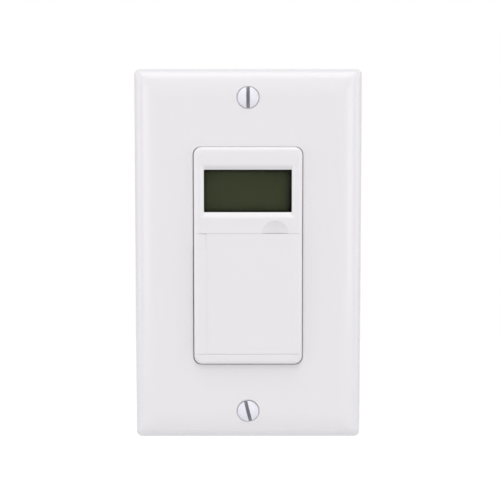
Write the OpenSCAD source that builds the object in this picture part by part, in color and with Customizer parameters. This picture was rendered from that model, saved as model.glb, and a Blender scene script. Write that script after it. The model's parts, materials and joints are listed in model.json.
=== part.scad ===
// In-wall timer light switch: decorator wall plate, display bezel, push paddle with a
// hinged key door, control and power boards, and a rear housing on a steel strap.
// Millimetres. X is right, Y runs into the wall, Z is up. The wall plane is y = 0.

/* [Wall plate] */
// Width of the wall plate
plate_w = 69.85; // [69:0.05:74]
// Height of the wall plate
plate_h = 114.3; // [113:0.1:120]
// How far the plate stands off the wall
plate_depth = 5.6; // [5.4:0.1:6]
// Thickness of the plate's face
plate_wall = 2.2; // [2:0.1:2.3]
// Width of the curved border of the face
border_w = 8.5; // [6:0.5:10]
// Fall of the curved border
border_drop = 1.5; // [0.8:0.1:1.6]
// Rounding of the outer edge
plate_edge_r = 3.5; // [1:0.1:3.6]
// Width of the decorator opening
opening_w = 33.9; // [33.8:0.05:34.2]
// Height of the decorator opening
opening_h = 67.5; // [67.4:0.05:67.8]
// Distance between the two plate screws
plate_screw_pitch = 96.84; // [96.5:0.01:97.1]
// Distance between the two wall box screws
box_screw_pitch = 83.34; // [83:0.01:83.6]

/* [Face insert] */
// Width of the bezel, paddle and door
insert_w = 33.2; // [33:0.05:33.3]
// Height of the bezel and paddle together
insert_h = 66.8; // [66.6:0.05:66.9]
// How far the insert stands proud of the plate
insert_proud = 2.2; // [2:0.1:2.4]
// Rounding along the insert's outer edges
insert_edge_r = 1.2; // [0.6:0.1:1.3]
// Corner radius of the insert seen from the front
insert_corner_r = 2.4; // [1.5:0.1:2.6]
// Height of the seam between bezel and paddle above the centre
seam_z = 6.9; // [6.85:0.05:7]
// Gap left at the seam and round the door
seam_gap = 0.2; // [0.15:0.01:0.22]

/* [Display] */
// Half width of the window at the lens
window_half_w = 13.4; // [12.5:0.05:13.6]
// Lower edge of the window at the lens
window_z0 = 13.6; // [13.2:0.05:14]
// Upper edge of the window at the lens
window_z1 = 26.5; // [25.8:0.05:26.6]
// Spread of the window's left, right, lower and upper sides towards the face
window_slopes = [1.35, 1.1, 2.15, 1.75]; // [1:0.05:2.2]
// Depth of the window's sloping sides
window_depth = 0.9; // [0.8:0.05:1]

/* [Keys] */
// Sideways distance of the key columns from the centre
key_column_x = 6.5; // [6.3:0.1:6.8]
// Height of the upper key row
key_row_z = -4; // [-4.4:0.1:-3.8]
// Distance between the key rows
key_pitch = 8.5; // [8.2:0.1:8.6]
// Width of a key
key_w = 8.4; // [7:0.1:8.6]
// Height of a key
key_h = 4.8; // [4:0.1:5]

/* [Housing] */
// Width of the rear housing
housing_w = 45; // [45:0.1:46.5]
// Height of the rear housing
housing_h = 66; // [66:0.1:67]
// Depth of the rear housing behind the strap
housing_depth = 33; // [33:0.1:36]
// Wall of the rear housing
housing_wall = 1.8; // [1.6:0.1:2]

/* [Hidden] */
$fn = 48;
eps = 0.05;
arc_steps = 6;

// Depths of the face, negative towards the viewer
plate_front = -plate_depth;
plate_ceiling = plate_wall - plate_depth;
face_y = -plate_depth - insert_proud;
insert_x = insert_w / 2;
insert_z = insert_h / 2;

// Wall plate and its screws
plate_corner_r = 1.8;
plate_rim = 2.2;
plate_screw_z = plate_screw_pitch / 2;
plate_screw_r = 1.75;
plate_screw_len = 12.7;
oval_head_r = 3.3;
oval_dome = 0.9;
oval_cone = 1.8;
countersink_r = 3.5;
plate_hole_r = 1.95;
plate_boss_r = 3.2;
screw_slot_w = 1.05;
screw_slot_floor = 0.2;
lower_slot_tilt = 14;

// Mounting strap
strap_t = 1.2;
strap_back = -0.1;
strap_half_w = 22.5;
strap_half_h = 35.5;
strap_end_half_w = 18;
strap_end_z = 53;
strap_window_x = 15.2;
strap_window_z = 30.2;
strap_hole_x = 13;
strap_hole_z = 47.5;
strap_hole_r = 2.2;
box_screw_z = box_screw_pitch / 2;
box_hole_r = 2;
box_hole_half = 1.4;
box_screw_r = 1.75;
box_neck_r = 1.4;
box_thread_y = 1;
box_screw_end = 24;
box_tip_r = 1.1;
box_head_r = 3.2;
box_head_t = 1.9;
box_slot_w = 1.1;
box_slot_turn = 35;
retainer_half_w = 4.5;
retainer_half_h = 3.6;
retainer_back = 0.8;
ground_x = 12.5;
ground_y = 6;
ground_tab_z = -35.5;
ground_tab_half_w = 4.5;
ground_tab_end = 11;
ground_screw_r = 1.9;
ground_head_r = 4;
ground_head_t = 2.6;
ground_washer_r = 4.4;
ground_washer_t = 0.7;
ground_slack = 0.9;

// Front bezel
bezel_wall = 1.6;
bezel_front_t = 2;
flange_half_w = 21;
flange_half_h = 35;
flange_y0 = -2.8;
deck_y0 = -1.6;
deck_y1 = -0.2;
deck_half_w = 15;
deck_z0 = -29.9;
deck_z1 = 1.2;
well_half_w = 14.6;
well_z0 = -29.4;
well_z1 = seam_z - 0.05;
scallop_x = 8.6;
scallop_r = 6.3;
scallop_depth = 1.2;
scallop_z = 6.85;
case_post_x = 18.9;
case_post_z = 29.3;
case_boss_r = 2.8;
case_boss_end = 6;
board_bosses = [[-7.5, 7.6], [7.5, 7.6], [-11.5, -27.9], [11.5, -27.9]];
board_boss_r = 1.8;
board_boss_y = -1.5;
board_boss_bore_y = 0.4;
board_boss_bore_r = 1;
lug_x0 = 13.3;
lug_x1 = 15.1;
lug_y0 = -2.4;
lug_y1 = 0.2;
lug_z0 = 0.8;

// Display stack
window_land = 0.25;
lens_y = face_y + window_depth + window_land;
lens_t = 1;
lens_half_w = 14.3;
lens_z0 = 12;
lens_z1 = 28;
lens_room = 0.1;
lcd_y0 = face_y + 3.2;
lcd_y1 = -1.4;
lcd_half_w = 14.4;
lcd_z0 = 10.2;
lcd_z1 = 29.8;
lcd_ledge = 1.6;
holder_half_w = 14.5;
holder_z0 = 9.6;
holder_z1 = 29.9;
holder_hole_half_w = 11.5;
holder_hole_z0 = 14.4;
holder_hole_z1 = 25.6;
zebra_rows = [12.1, 27.9];
zebra_half_w = 13;
zebra_half_h = 0.9;

// Control board and what sits on it
board_half_w = 14.6;
board_half_h = 29.8;
board_y = 4.2;
board_t = 1.6;
board_back = board_y + board_t;
board_hole_r = 1.15;
board_screw_r = 0.95;
board_head_r = 1.9;
board_head_t = 1.3;
cell_z = -14;
cell_r = 10;
cell_y = 7;
cell_t = 3.2;
clip_half_w = 2.5;
clip_t = 0.4;
link_x = 10;
link_z = 20.25;
link_pitch = 1.27;
header_half_w = 4.5;
header_half_h = 1.25;
header_t = 3.7;

// Paddle, pin and door
paddle_top = seam_z - seam_gap / 2;
bezel_base = seam_z + seam_gap / 2;
door_t = 1.6;
door_back = face_y + door_t;
rim_y0 = door_back + 0.2;
rim_y1 = rim_y0 + 1.4;
border_top = -30.25;
pan_half_w = 14.2;
pan_z0 = -29;
pan_z1 = 5;
pan_wall = 1.2;
floor_y0 = -4;
floor_y1 = -2.8;
pivot_y = -1;
pivot_z = 4.4;
pin_r = 1;
pin_half_len = lug_x1;
hinge_x = 1.05 - insert_x;
hinge_y = face_y + 1;
trunnion_r = 0.55;
hinge_bore_r = 0.6;
hinge_sweep_r = 1.5;
hinge_end_gap = 0.4;
knuckle_x = 3.75 - insert_x;
knuckle_z = 2.2;
hinge_top = knuckle_z + 2;
hinge_foot = border_top - 1.6;
latch_x = 14.9;
latch_z = -11.5;
latch_half_w = 0.4;
latch_half_h = 2;
latch_reach = 1.2;
score_x = -12.5;
score_half_w = 0.15;
score_depth = 0.12;
ear_x = 11.6;
ear_half = 1.2;
ear_r = 2;
notch_gap = 0.25;

// Keys and switches
key_top = -4.6;
key_flange_y0 = -0.1;
key_flange_y1 = 0.5;
key_corner_r = 0.9;
stem_r = 1.65;
switch_y0 = 1.5;
switch_half = 3;
plunger_z = -26.5;
plunger_r = 1.5;
plunger_top = floor_y1 + 0.12;
reset_r = 1.5;
reset_top = -4.2;
stem_end = 2.4;
key_lip_x = 0.8;
key_lip_z = 0.7;
round_lip = 0.9;
guide_gap = 0.1;
round_guide_gap = 0.06;
floor_gap = 0.3;
row_z = [for (i = [0:2]) key_row_z - i * key_pitch];
key_places = [
    [-key_column_x, row_z[0]], [key_column_x, row_z[0]],
    [-key_column_x, row_z[1]], [key_column_x, row_z[1]],
    [-key_column_x, row_z[2]]
];
reset_place = [key_column_x, row_z[2]];
switch_places = concat(key_places, [reset_place, [0, plunger_z]]);

// Rear housing, power board and terminals
case_x = housing_w / 2;
case_z = housing_h / 2;
case_floor = housing_depth - housing_wall;
case_post_r = 4;
case_screw_seat = 14;
case_screw_r = 1.2;
power_y = case_floor - 4;
power_t = 1.6;
power_half_w = 19.8;
power_half_h = 24.4;
power_pads = [[-16.5, -21.5], [16.5, -21.5], [-16.5, 21.5], [16.5, 21.5]];
power_screw_pads = [power_pads[0], power_pads[3]];
lead_wire_r = 0.35;
terminal_y = 17;
terminal_x = 16.3;
terminal_t = 1;
hot_terminals = [[1, 9], [1, -9]];
neutral_terminals = [[-1, 9]];
terminals = concat(hot_terminals, neutral_terminals);
terminal_screw_r = 1.7;
terminal_head_r = 3.5;
terminal_screw_len = 5.4;
terminal_head_t = 2.2;
terminal_half = 4.6;
terminal_tail_half = 1.9;
terminal_window_half = 5;
terminal_pocket_half = 6.2;
terminal_pocket_wall = 1.2;
terminal_bore_r = 2;
terminal_tail_out = 1.2;
terminal_gap = 0.2;
wire_room = 1.1;
power_hole_r = 1.15;
power_pad_r = 2.4;
case_corner_r = 2.5;
case_seat_r = 2.5;
case_head_r = 2.2;
case_head_t = 1.8;

// Outlines and solids shared by the pieces

// Points of a rectangle with its corner radii in the order lower left, lower right, upper right, upper left
function round_points(x0, z0, x1, z1, r) =
    let (corners = [[x0, z0, 1, 1, 180], [x1, z0, -1, 1, 270], [x1, z1, -1, -1, 0], [x0, z1, 1, -1, 90]])
    [for (k = [0:3])
        let (c = corners[k])
        for (i = [0:(r[k] > 0 ? arc_steps : 0)])
            let (a = c[4] + 90 * i / arc_steps)
            r[k] > 0
                ? [c[0] + c[2] * r[k] + r[k] * cos(a), c[1] + c[3] * r[k] + r[k] * sin(a)]
                : [c[0], c[1]]];

// Rectangle with rounded corners, one radius for all or a list of four
module round_rect(x0, z0, x1, z1, r = 0) {
    radii = is_list(r) ? r : [r, r, r, r];
    polygon(round_points(x0, z0, x1, z1, radii));
}

// Extrudes an outline drawn in X and Z between two depths
module slab(y0, y1) {
    translate([0, y1, 0]) rotate([90, 0, 0]) linear_extrude(y1 - y0) children();
}

// Extrudes a profile drawn in Z and forward height along X
module across(half) {
    rotate([180, -90, 0]) linear_extrude(2 * half, center = true) children();
}

// Extrudes a profile drawn in X and forward height along Z
module upright(half) {
    rotate([180, 0, 0]) linear_extrude(2 * half, center = true) children();
}

// Block whose front edges are rounded: radii of the left, right, lower and upper edges
module soft_block(x0, x1, z0, z1, y0, y1, edges, corners) {
    reach = 2 * insert_h;
    intersection() {
        slab(y0, y1) round_rect(x0, z0, x1, z1, corners);
        upright(reach) round_rect(x0, -y1, x1, -y0, [0, 0, edges[1], edges[0]]);
        across(reach) round_rect(z0, -y1, z1, -y0, [0, 0, edges[3], edges[2]]);
    }
}

// Round bar along Y at x, z
module bar_y(x, z, y0, y1, r) {
    translate([x, y0, z]) rotate([-90, 0, 0]) cylinder(h = y1 - y0, r = r);
}

// Round bar along X at y, z
module bar_x(y, z, x0, x1, r) {
    translate([x0, y, z]) rotate([0, 90, 0]) cylinder(h = x1 - x0, r = r);
}

// Round bar along Z at x, y
module bar_z(x, y, z0, z1, r) {
    translate([x, y, z0]) cylinder(h = z1 - z0, r = r);
}

module box(x0, x1, y0, y1, z0, z1) {
    translate([x0, y0, z0]) cube([x1 - x0, y1 - y0, z1 - z0]);
}

// Wall plate

// Half profile of the face: flat, then a wide curved border, then the rounded outer edge
function border_points(half) =
    let (
        big_r = (border_w * border_w + border_drop * border_drop) / (2 * border_drop),
        start = half - border_w,
        centre_f = plate_depth - big_r,
        edge_x = half - plate_edge_r,
        edge_f = centre_f + sqrt(pow(big_r - plate_edge_r, 2) - pow(border_w - plate_edge_r, 2)),
        turn = asin((border_w - plate_edge_r) / (big_r - plate_edge_r))
    )
    concat(
        [for (i = [0:8]) [start + big_r * sin(turn * i / 8), centre_f + big_r * cos(turn * i / 8)]],
        [for (i = [1:6])
            let (a = turn + (90 - turn) * i / 6)
            [edge_x + plate_edge_r * sin(a), edge_f + plate_edge_r * cos(a)]]
    );

module face_profile(half) {
    side = border_points(half);
    last = len(side) - 1;
    polygon(concat(
        [[-half, 0], [half, 0]],
        [for (i = [last:-1:0]) side[i]],
        [for (p = side) [-p[0], p[1]]]
    ));
}

module wall_plate() {
    hx = plate_w / 2;
    hz = plate_h / 2;
    color("white") difference() {
        union() {
            difference() {
                intersection() {
                    slab(plate_front - eps, 0) round_rect(-hx, -hz, hx, hz, plate_corner_r);
                    upright(plate_h) face_profile(hx);
                    across(plate_h) face_profile(hz);
                }
                slab(plate_ceiling, 1)
                    round_rect(plate_rim - hx, plate_rim - hz, hx - plate_rim, hz - plate_rim, 1);
            }
            for (s = [-1, 1])
                bar_y(0, s * plate_screw_z, plate_ceiling - eps, -strap_t - eps, plate_boss_r);
        }
        slab(plate_front - 1, 1)
            round_rect(-opening_w / 2, -opening_h / 2, opening_w / 2, opening_h / 2, insert_corner_r);
        for (s = [-1, 1]) {
            bar_y(0, s * plate_screw_z, plate_front - 1, 1, plate_hole_r);
            translate([0, plate_front, s * plate_screw_z]) rotate([-90, 0, 0])
                cylinder(h = oval_cone, r1 = countersink_r, r2 = plate_hole_r);
        }
    }
}

// Oval head screw, its head rim level with z = 0 and its shank along +z
module oval_screw(slot_angle) {
    dome_r = (oval_head_r * oval_head_r + oval_dome * oval_dome) / (2 * oval_dome);
    difference() {
        union() {
            intersection() {
                translate([0, 0, dome_r - oval_dome]) sphere(dome_r);
                translate([0, 0, -oval_dome]) cylinder(h = oval_dome, r = oval_head_r);
            }
            cylinder(h = oval_cone - 0.1, r1 = oval_head_r, r2 = plate_screw_r);
            cylinder(h = plate_screw_len, r = plate_screw_r);
        }
        rotate([0, 0, slot_angle])
            translate([-screw_slot_w / 2, -5, -2]) cube([screw_slot_w, 10, 2 + screw_slot_floor]);
    }
}

module plate_screws() {
    color("whitesmoke") for (s = [-1, 1])
        translate([0, plate_front, s * plate_screw_z]) rotate([-90, 0, 0])
            oval_screw(s > 0 ? 0 : lower_slot_tilt);
}

// Mounting strap and what fastens it

module strap_outline() {
    difference() {
        union() {
            round_rect(-strap_half_w, -strap_half_h, strap_half_w, strap_half_h, 2);
            round_rect(-strap_end_half_w, -strap_end_z, strap_end_half_w, strap_end_z, 3);
        }
        round_rect(-strap_window_x, -strap_window_z, strap_window_x, strap_window_z, 0.8);
        for (sz = [-1, 1]) {
            translate([0, sz * plate_screw_z]) circle(plate_screw_r + eps);
            translate([0, sz * box_screw_z]) square([2 * box_hole_half, 2 * box_hole_r], center = true);
            for (sx = [-1, 1]) {
                translate([sx * box_hole_half, sz * box_screw_z]) circle(box_hole_r);
                translate([sx * case_post_x, sz * case_post_z]) circle(case_boss_r + 0.1);
                translate([sx * strap_hole_x, sz * strap_hole_z]) circle(strap_hole_r);
            }
        }
    }
}

module mounting_strap() {
    color("silver") difference() {
        union() {
            slab(-strap_t, strap_back) strap_outline();
            box(
                ground_x - ground_tab_half_w, ground_x + ground_tab_half_w, strap_back - 0.1, ground_tab_end,
                ground_tab_z - strap_t, ground_tab_z
            );
        }
        bar_z(ground_x, ground_y, ground_tab_z - 3, ground_tab_z + 2, ground_screw_r + eps);
    }
}

module box_screws() {
    color("lightgray") for (s = [-1, 1]) difference() {
        union() {
            bar_y(0, s * box_screw_z, -strap_t - box_head_t, -strap_t, box_head_r);
            bar_y(0, s * box_screw_z, -strap_t - 0.1, box_thread_y + 0.1, box_neck_r);
            bar_y(0, s * box_screw_z, box_thread_y, box_screw_end - 1, box_screw_r);
            translate([0, box_screw_end - 1, s * box_screw_z]) rotate([-90, 0, 0])
                cylinder(h = 1, r1 = box_screw_r, r2 = box_tip_r);
        }
        translate([0, -strap_t - box_head_t, s * box_screw_z]) rotate([0, box_slot_turn, 0])
            cube([10, 2, box_slot_w], center = true);
    }
}

module screw_retainers() {
    color("tan") for (s = [-1, 1]) difference() {
        slab(strap_back, retainer_back) translate([0, s * box_screw_z])
            round_rect(-retainer_half_w, -retainer_half_h, retainer_half_w, retainer_half_h, 0.8);
        bar_y(0, s * box_screw_z, -1, 2, box_neck_r + eps);
    }
}

module ground_screw() {
    seat_z = ground_tab_z - strap_t - ground_slack;
    head_z = seat_z - ground_head_t;
    color("green") difference() {
        union() {
            translate([ground_x, ground_y, head_z])
                cylinder(h = ground_head_t - ground_washer_t + 0.1, r = ground_head_r, $fn = 6);
            bar_z(ground_x, ground_y, seat_z - ground_washer_t, seat_z, ground_washer_r);
            bar_z(ground_x, ground_y, seat_z - 0.1, ground_tab_z + 1.9, ground_screw_r);
        }
        translate([ground_x, ground_y, head_z]) cube([10, box_slot_w, 2], center = true);
    }
}

// Front bezel

// Window that narrows from the face, down to a short straight land at the lens
module window_funnel() {
    back = -lens_y - eps;
    land = -face_y - window_depth;
    front = -face_y + eps;
    spread = (1 + eps / window_depth) * window_slopes;
    intersection() {
        upright(insert_h) polygon([
            [-window_half_w, back], [window_half_w, back], [window_half_w, land],
            [window_half_w + spread[1], front], [-window_half_w - spread[0], front],
            [-window_half_w, land]
        ]);
        across(insert_w) polygon([
            [window_z0, back], [window_z1, back], [window_z1, land],
            [window_z1 + spread[3], front], [window_z0 - spread[2], front],
            [window_z0, land]
        ]);
    }
}

module bezel_shell() {
    soft_block(
        -insert_x, insert_x, bezel_base, insert_z, face_y, flange_y0 + 0.1,
        [insert_edge_r, insert_edge_r, 0.3, insert_edge_r], [0, 0, insert_corner_r, insert_corner_r]
    );
    slab(flange_y0, -strap_t)
        difference() {
            round_rect(-flange_half_w, -flange_half_h, flange_half_w, flange_half_h, 3);
            round_rect(-well_half_w, well_z0, well_half_w, well_z1, 0.5);
        }
}

// Outline of a key with its sides moved out
module key_outline(out_x, out_z, corner) {
    half_w = key_w / 2 + out_x;
    half_h = key_h / 2 + out_z;
    round_rect(-half_w, -half_h, half_w, half_h, corner);
}

module key_deck() {
    slab(deck_y0, deck_y1) difference() {
        round_rect(-deck_half_w, deck_z0, deck_half_w, deck_z1, 0.5);
        for (p = key_places) translate(p) key_outline(guide_gap, guide_gap, key_corner_r);
        translate(reset_place) circle(reset_r + round_guide_gap);
        translate([0, plunger_z]) circle(plunger_r + round_guide_gap);
    }
}

module bezel_posts() {
    for (sx = [-1, 1]) {
        for (sz = [-1, 1])
            difference() {
                bar_y(sx * case_post_x, sz * case_post_z, -strap_t - 0.2, case_boss_end, case_boss_r);
                bar_y(sx * case_post_x, sz * case_post_z, -0.8, case_boss_end + 1, case_screw_r + eps);
            }
        mirror([sx < 0 ? 1 : 0, 0, 0]) box(lug_x0, lug_x1, lug_y0, lug_y1, lug_z0, well_z1 + 0.2);
    }
    for (p = board_bosses)
        difference() {
            bar_y(p[0], p[1], board_boss_y, board_y, board_boss_r);
            bar_y(p[0], p[1], board_boss_bore_y, board_y + 1, board_boss_bore_r);
        }
}

module front_bezel() {
    inner = insert_x - bezel_wall;
    color("white") difference() {
        union() {
            difference() {
                bezel_shell();
                slab(face_y + bezel_front_t, 1)
                    round_rect(-inner, bezel_base + bezel_wall, inner, insert_z - bezel_wall, 0.8);
                slab(lens_y, face_y + bezel_front_t + eps) lens_outline(lens_room);
                window_funnel();
                translate([scallop_x, face_y - scallop_r + scallop_depth, scallop_z]) sphere(scallop_r);
            }
            key_deck();
            bezel_posts();
        }
        // The pin slides in from the right, along a groove that the strap then closes
        bar_x(pivot_y, pivot_z, -pin_half_len, flange_half_w + 1, pin_r + 0.01);
    }
}

// Display

module lens_outline(out) {
    round_rect(-lens_half_w - out, lens_z0 - out, lens_half_w + out, lens_z1 + out, 0.5);
}

module display_lens() {
    color("lightcyan", 0.4) slab(lens_y, lens_y + lens_t) lens_outline(0);
}

module lcd_panel() {
    color("darkolivegreen") union() {
        slab(lcd_y0, (lcd_y0 + lcd_y1) / 2)
            round_rect(-lcd_half_w, lcd_z0 + lcd_ledge, lcd_half_w, lcd_z1 - lcd_ledge, 0.2);
        slab((lcd_y0 + lcd_y1) / 2, lcd_y1) round_rect(-lcd_half_w, lcd_z0, lcd_half_w, lcd_z1, 0.2);
    }
}

module lcd_holder() {
    color("white") slab(lcd_y1, board_y) difference() {
        round_rect(-holder_half_w, holder_z0, holder_half_w, holder_z1, 0.6);
        round_rect(-holder_hole_half_w, holder_hole_z0, holder_hole_half_w, holder_hole_z1, 0.6);
        for (z = zebra_rows) translate([0, z])
            round_rect(-zebra_half_w - 0.1, -zebra_half_h - 0.1, zebra_half_w + 0.1, zebra_half_h + 0.1);
    }
}

module zebra_strips() {
    color("dimgray") slab(lcd_y1, board_y)
        for (z = zebra_rows) translate([0, z])
            round_rect(-zebra_half_w, -zebra_half_h, zebra_half_w, zebra_half_h);
}

// Control board

module control_board() {
    color("darkgreen") slab(board_y, board_back) difference() {
        round_rect(-board_half_w, -board_half_h, board_half_w, board_half_h, 0.8);
        for (p = board_bosses) translate(p) circle(board_hole_r);
    }
}

// Pan head screw with a cross recess, its seat at y and its shank towards y1
module pan_screw(p, seat, y1, head_r, head_t, shank_r) {
    way = sign(y1 - seat);
    head = seat - way * head_t;
    difference() {
        union() {
            bar_y(p[0], p[1], min(seat, head), max(seat, head), head_r);
            bar_y(p[0], p[1], min(seat - way * 0.1, y1), max(seat - way * 0.1, y1), shank_r);
        }
        for (a = [0, 90])
            translate([p[0], head, p[1]]) rotate([0, a, 0])
                cube([1.1 * head_r, head_t, 0.22 * head_r], center = true);
    }
}

module board_screws() {
    color("gray") for (p = board_bosses)
        pan_screw(p, board_back, 0.8, board_head_r, board_head_t, board_screw_r);
}

module controller_chip() {
    half_w = 5.15;
    rows = [12, 20.4];
    lead_len = 1.1;
    lead_half = 0.21;
    lead_x = [for (i = [0:7]) link_pitch * (i - 3.5)];
    color([0.15, 0.15, 0.16]) {
        box(-half_w, half_w, board_back + 0.15, board_back + 2.4, rows[0] + 1, rows[1] + 0.1);
        for (x = lead_x, z = rows)
            box(x - lead_half, x + lead_half, board_back, board_back + 1, z, z + lead_len);
    }
}

module clock_crystal() {
    can_r = 1;
    can_x = [4, 10];
    can_z = 3.5;
    lead_r = 0.2;
    lead_x = 2.2;
    color("silver") {
        bar_x(board_back + can_r, can_z, can_x[0], can_x[1], can_r);
        for (side = [-1, 1])
            bar_x(board_back + 2 * lead_r, can_z + side * 2 * lead_r, lead_x, can_x[0] + 0.1, lead_r);
    }
}

module cell_holder() {
    color([0.2, 0.2, 0.22]) difference() {
        bar_y(0, cell_z, board_back, cell_y + 2.4, cell_r + 1.2);
        bar_y(0, cell_z, cell_y, cell_y + 2 * cell_t, cell_r + 0.1);
        box(-clip_half_w - 0.5, clip_half_w + 0.5, cell_y, cell_y + 2 * cell_t, cell_z - 15, cell_z + 15);
    }
}

module coin_cell() {
    color("silver") {
        bar_y(0, cell_z, cell_y, cell_y + cell_t - 0.6, cell_r);
        bar_y(0, cell_z, cell_y + 0.5, cell_y + cell_t, cell_r - 0.9);
    }
}

module cell_clip() {
    top = cell_y + cell_t;
    reach = cell_r + 1.4;
    color("gainsboro") {
        box(-clip_half_w, clip_half_w, top, top + clip_t, cell_z - reach - clip_t, cell_z + reach + clip_t);
        for (s = [-1, 1])
            translate([0, 0, cell_z + s * (reach + clip_t / 2)])
                box(-clip_half_w, clip_half_w, board_back, top + clip_t, -clip_t / 2, clip_t / 2);
    }
}

module switch_bodies() {
    color([0.22, 0.22, 0.24]) for (p = switch_places) difference() {
        slab(switch_y0, board_y)
            translate(p) round_rect(-switch_half, -switch_half, switch_half, switch_half, 0.4);
        bar_y(p[0], p[1], switch_y0 - 1, board_y - 0.6, stem_r + eps);
    }
}

// Power board and its components

module header_blocks() {
    color([0.9, 0.88, 0.8]) {
        for (y = [board_back, power_y - header_t])
            box(
                link_x - header_half_w, link_x + header_half_w, y, y + header_t,
                link_z - header_half_h, link_z + header_half_h
            );
    }
}

module ribbon_link() {
    color("lightgray") slab(board_back + header_t, power_y - header_t)
        for (i = [0:5])
            translate([link_x + link_pitch * (i - 2.5), link_z])
                square([link_pitch + 0.01, 0.9], center = true);
}

module power_board() {
    color("darkgreen") slab(power_y, power_y + power_t) difference() {
        round_rect(-power_half_w, -power_half_h, power_half_w, power_half_h, 1);
        for (p = power_screw_pads) translate(p) circle(power_hole_r);
        for (t = terminals)
            translate([t[0] * (terminal_x + terminal_t / 2), t[1]])
                square([terminal_t + 0.3, 2 * (terminal_tail_half + terminal_gap)], center = true);
    }
}

module power_board_screws() {
    color("gray") for (p = power_screw_pads)
        pan_screw(p, power_y, case_floor - 0.4, board_head_r, board_head_t, board_screw_r);
}

module relay() {
    relay_h = 15.3;
    color("royalblue") slab(power_y - relay_h, power_y) round_rect(-13, -21.5, 2.5, -2.5, 0.6);
}

module film_capacitor() {
    film_h = 14.5;
    color("gold") slab(power_y - film_h, power_y) round_rect(3.8, -21, 11.8, -3, 0.6);
}

module electrolytic_capacitors() {
    can_r = 4;
    can_len = 12;
    can_x = -9.5;
    color([0.15, 0.18, 0.3]) for (z = [4, 15]) bar_y(can_x, z, power_y - can_len, power_y, can_r);
}

module varistor() {
    disc_r = 5;
    disc_t = 4;
    disc_x = 3;
    disc_z = 8;
    lead_r = 0.4;
    color("steelblue") {
        bar_x(power_y - disc_r - 1.5, disc_z, disc_x - disc_t / 2, disc_x + disc_t / 2, disc_r);
        for (s = [-1, 1]) bar_y(disc_x, disc_z + s * disc_r / 2, power_y - 4, power_y, lead_r);
    }
}

module fusible_resistor() {
    body_x = 10;
    body_y = power_y - 2.2;
    body_z = [2.5, 11.5];
    body_r = 1.75;
    lead_z = [1.6, 12.4];
    color("lightsteelblue") {
        bar_z(body_x, body_y, body_z[0], body_z[1], body_r);
        bar_z(body_x, body_y, lead_z[0], lead_z[1], lead_wire_r);
        for (z = lead_z) bar_y(body_x, z, body_y, power_y, lead_wire_r);
    }
}

module rectifier_diodes() {
    first_x = -3.4;
    pitch = 2.8;
    body_y = power_y - 1.8;
    body_z = [13.6, 18.4];
    body_r = 1.3;
    lead_z = [12.8, 19.2];
    color([0.16, 0.16, 0.17]) for (i = [0:2]) {
        x = first_x + pitch * i;
        bar_z(x, body_y, body_z[0], body_z[1], body_r);
        bar_z(x, body_y, lead_z[0], lead_z[1], lead_wire_r);
        for (z = lead_z) bar_y(x, z, body_y, power_y, lead_wire_r);
    }
}

// Rear housing and terminals

// Box on the side a terminal faces, centred on the terminal's height
module side_box(t, x0, x1, y0, y1, half) {
    mirror([t[0] < 0 ? 1 : 0, 0, 0]) box(x0, x1, y0, y1, t[1] - half, t[1] + half);
}

// Round bar along X through a terminal
module side_bar(t, x0, x1, r) {
    mirror([t[0] < 0 ? 1 : 0, 0, 0]) bar_x(terminal_y, t[1], x0, x1, r);
}

module terminal_pockets() {
    half = terminal_pocket_half;
    inner = terminal_x - terminal_pocket_wall;
    for (t = terminals) side_box(t, inner, case_x - eps, terminal_y - half, terminal_y + half, half);
}

module terminal_cuts() {
    half = terminal_window_half;
    slot_half = terminal_tail_half + terminal_gap;
    for (t = terminals) {
        side_box(t, terminal_x, case_x + 1, terminal_y - half, terminal_y + half, half);
        side_box(t, terminal_x - eps, terminal_x + terminal_t + 0.1, terminal_y, terminal_y + 7, slot_half);
        side_bar(t, terminal_x - 3, terminal_x + 1, terminal_bore_r);
    }
}

module rear_housing() {
    inner_x = case_x - housing_wall;
    inner_z = case_z - housing_wall;
    color([0.2, 0.2, 0.21]) difference() {
        union() {
            difference() {
                slab(strap_back, housing_depth) round_rect(-case_x, -case_z, case_x, case_z, case_corner_r);
                slab(-1, case_floor) round_rect(-inner_x, -inner_z, inner_x, inner_z, 1.5);
            }
            intersection() {
                slab(strap_back, housing_depth) round_rect(-case_x, -case_z, case_x, case_z, case_corner_r);
                for (sx = [-1, 1], sz = [-1, 1])
                    bar_y(sx * case_post_x, sz * case_post_z, strap_back, housing_depth, case_post_r);
            }
            terminal_pockets();
            for (p = power_pads) bar_y(p[0], p[1], power_y + power_t, case_floor + eps, power_pad_r);
        }
        terminal_cuts();
        for (p = power_screw_pads) bar_y(p[0], p[1], power_y, case_floor - 0.2, 1);
        for (sx = [-1, 1], sz = [-1, 1]) {
            bar_y(sx * case_post_x, sz * case_post_z, -1, case_boss_end + eps, case_boss_r + eps);
            bar_y(sx * case_post_x, sz * case_post_z, 0, housing_depth, case_screw_r + 0.2);
            bar_y(sx * case_post_x, sz * case_post_z, case_screw_seat, housing_depth + 1, case_seat_r);
        }
    }
}

module housing_screws() {
    color("gray") for (sx = [-1, 1], sz = [-1, 1])
        pan_screw(
            [sx * case_post_x, sz * case_post_z], case_screw_seat, -0.4,
            case_head_r, case_head_t, case_screw_r
        );
}

module terminal_plates() {
    x1 = terminal_x + terminal_t;
    half = terminal_half;
    tail_end = power_y + power_t + terminal_tail_out;
    color("goldenrod") for (t = terminals) difference() {
        union() {
            side_box(t, terminal_x, x1, terminal_y - half, terminal_y + half, half);
            side_box(t, terminal_x, x1, terminal_y, tail_end, terminal_tail_half);
        }
        side_bar(t, terminal_x - 1, x1 + 1, terminal_screw_r + eps);
    }
}

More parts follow.
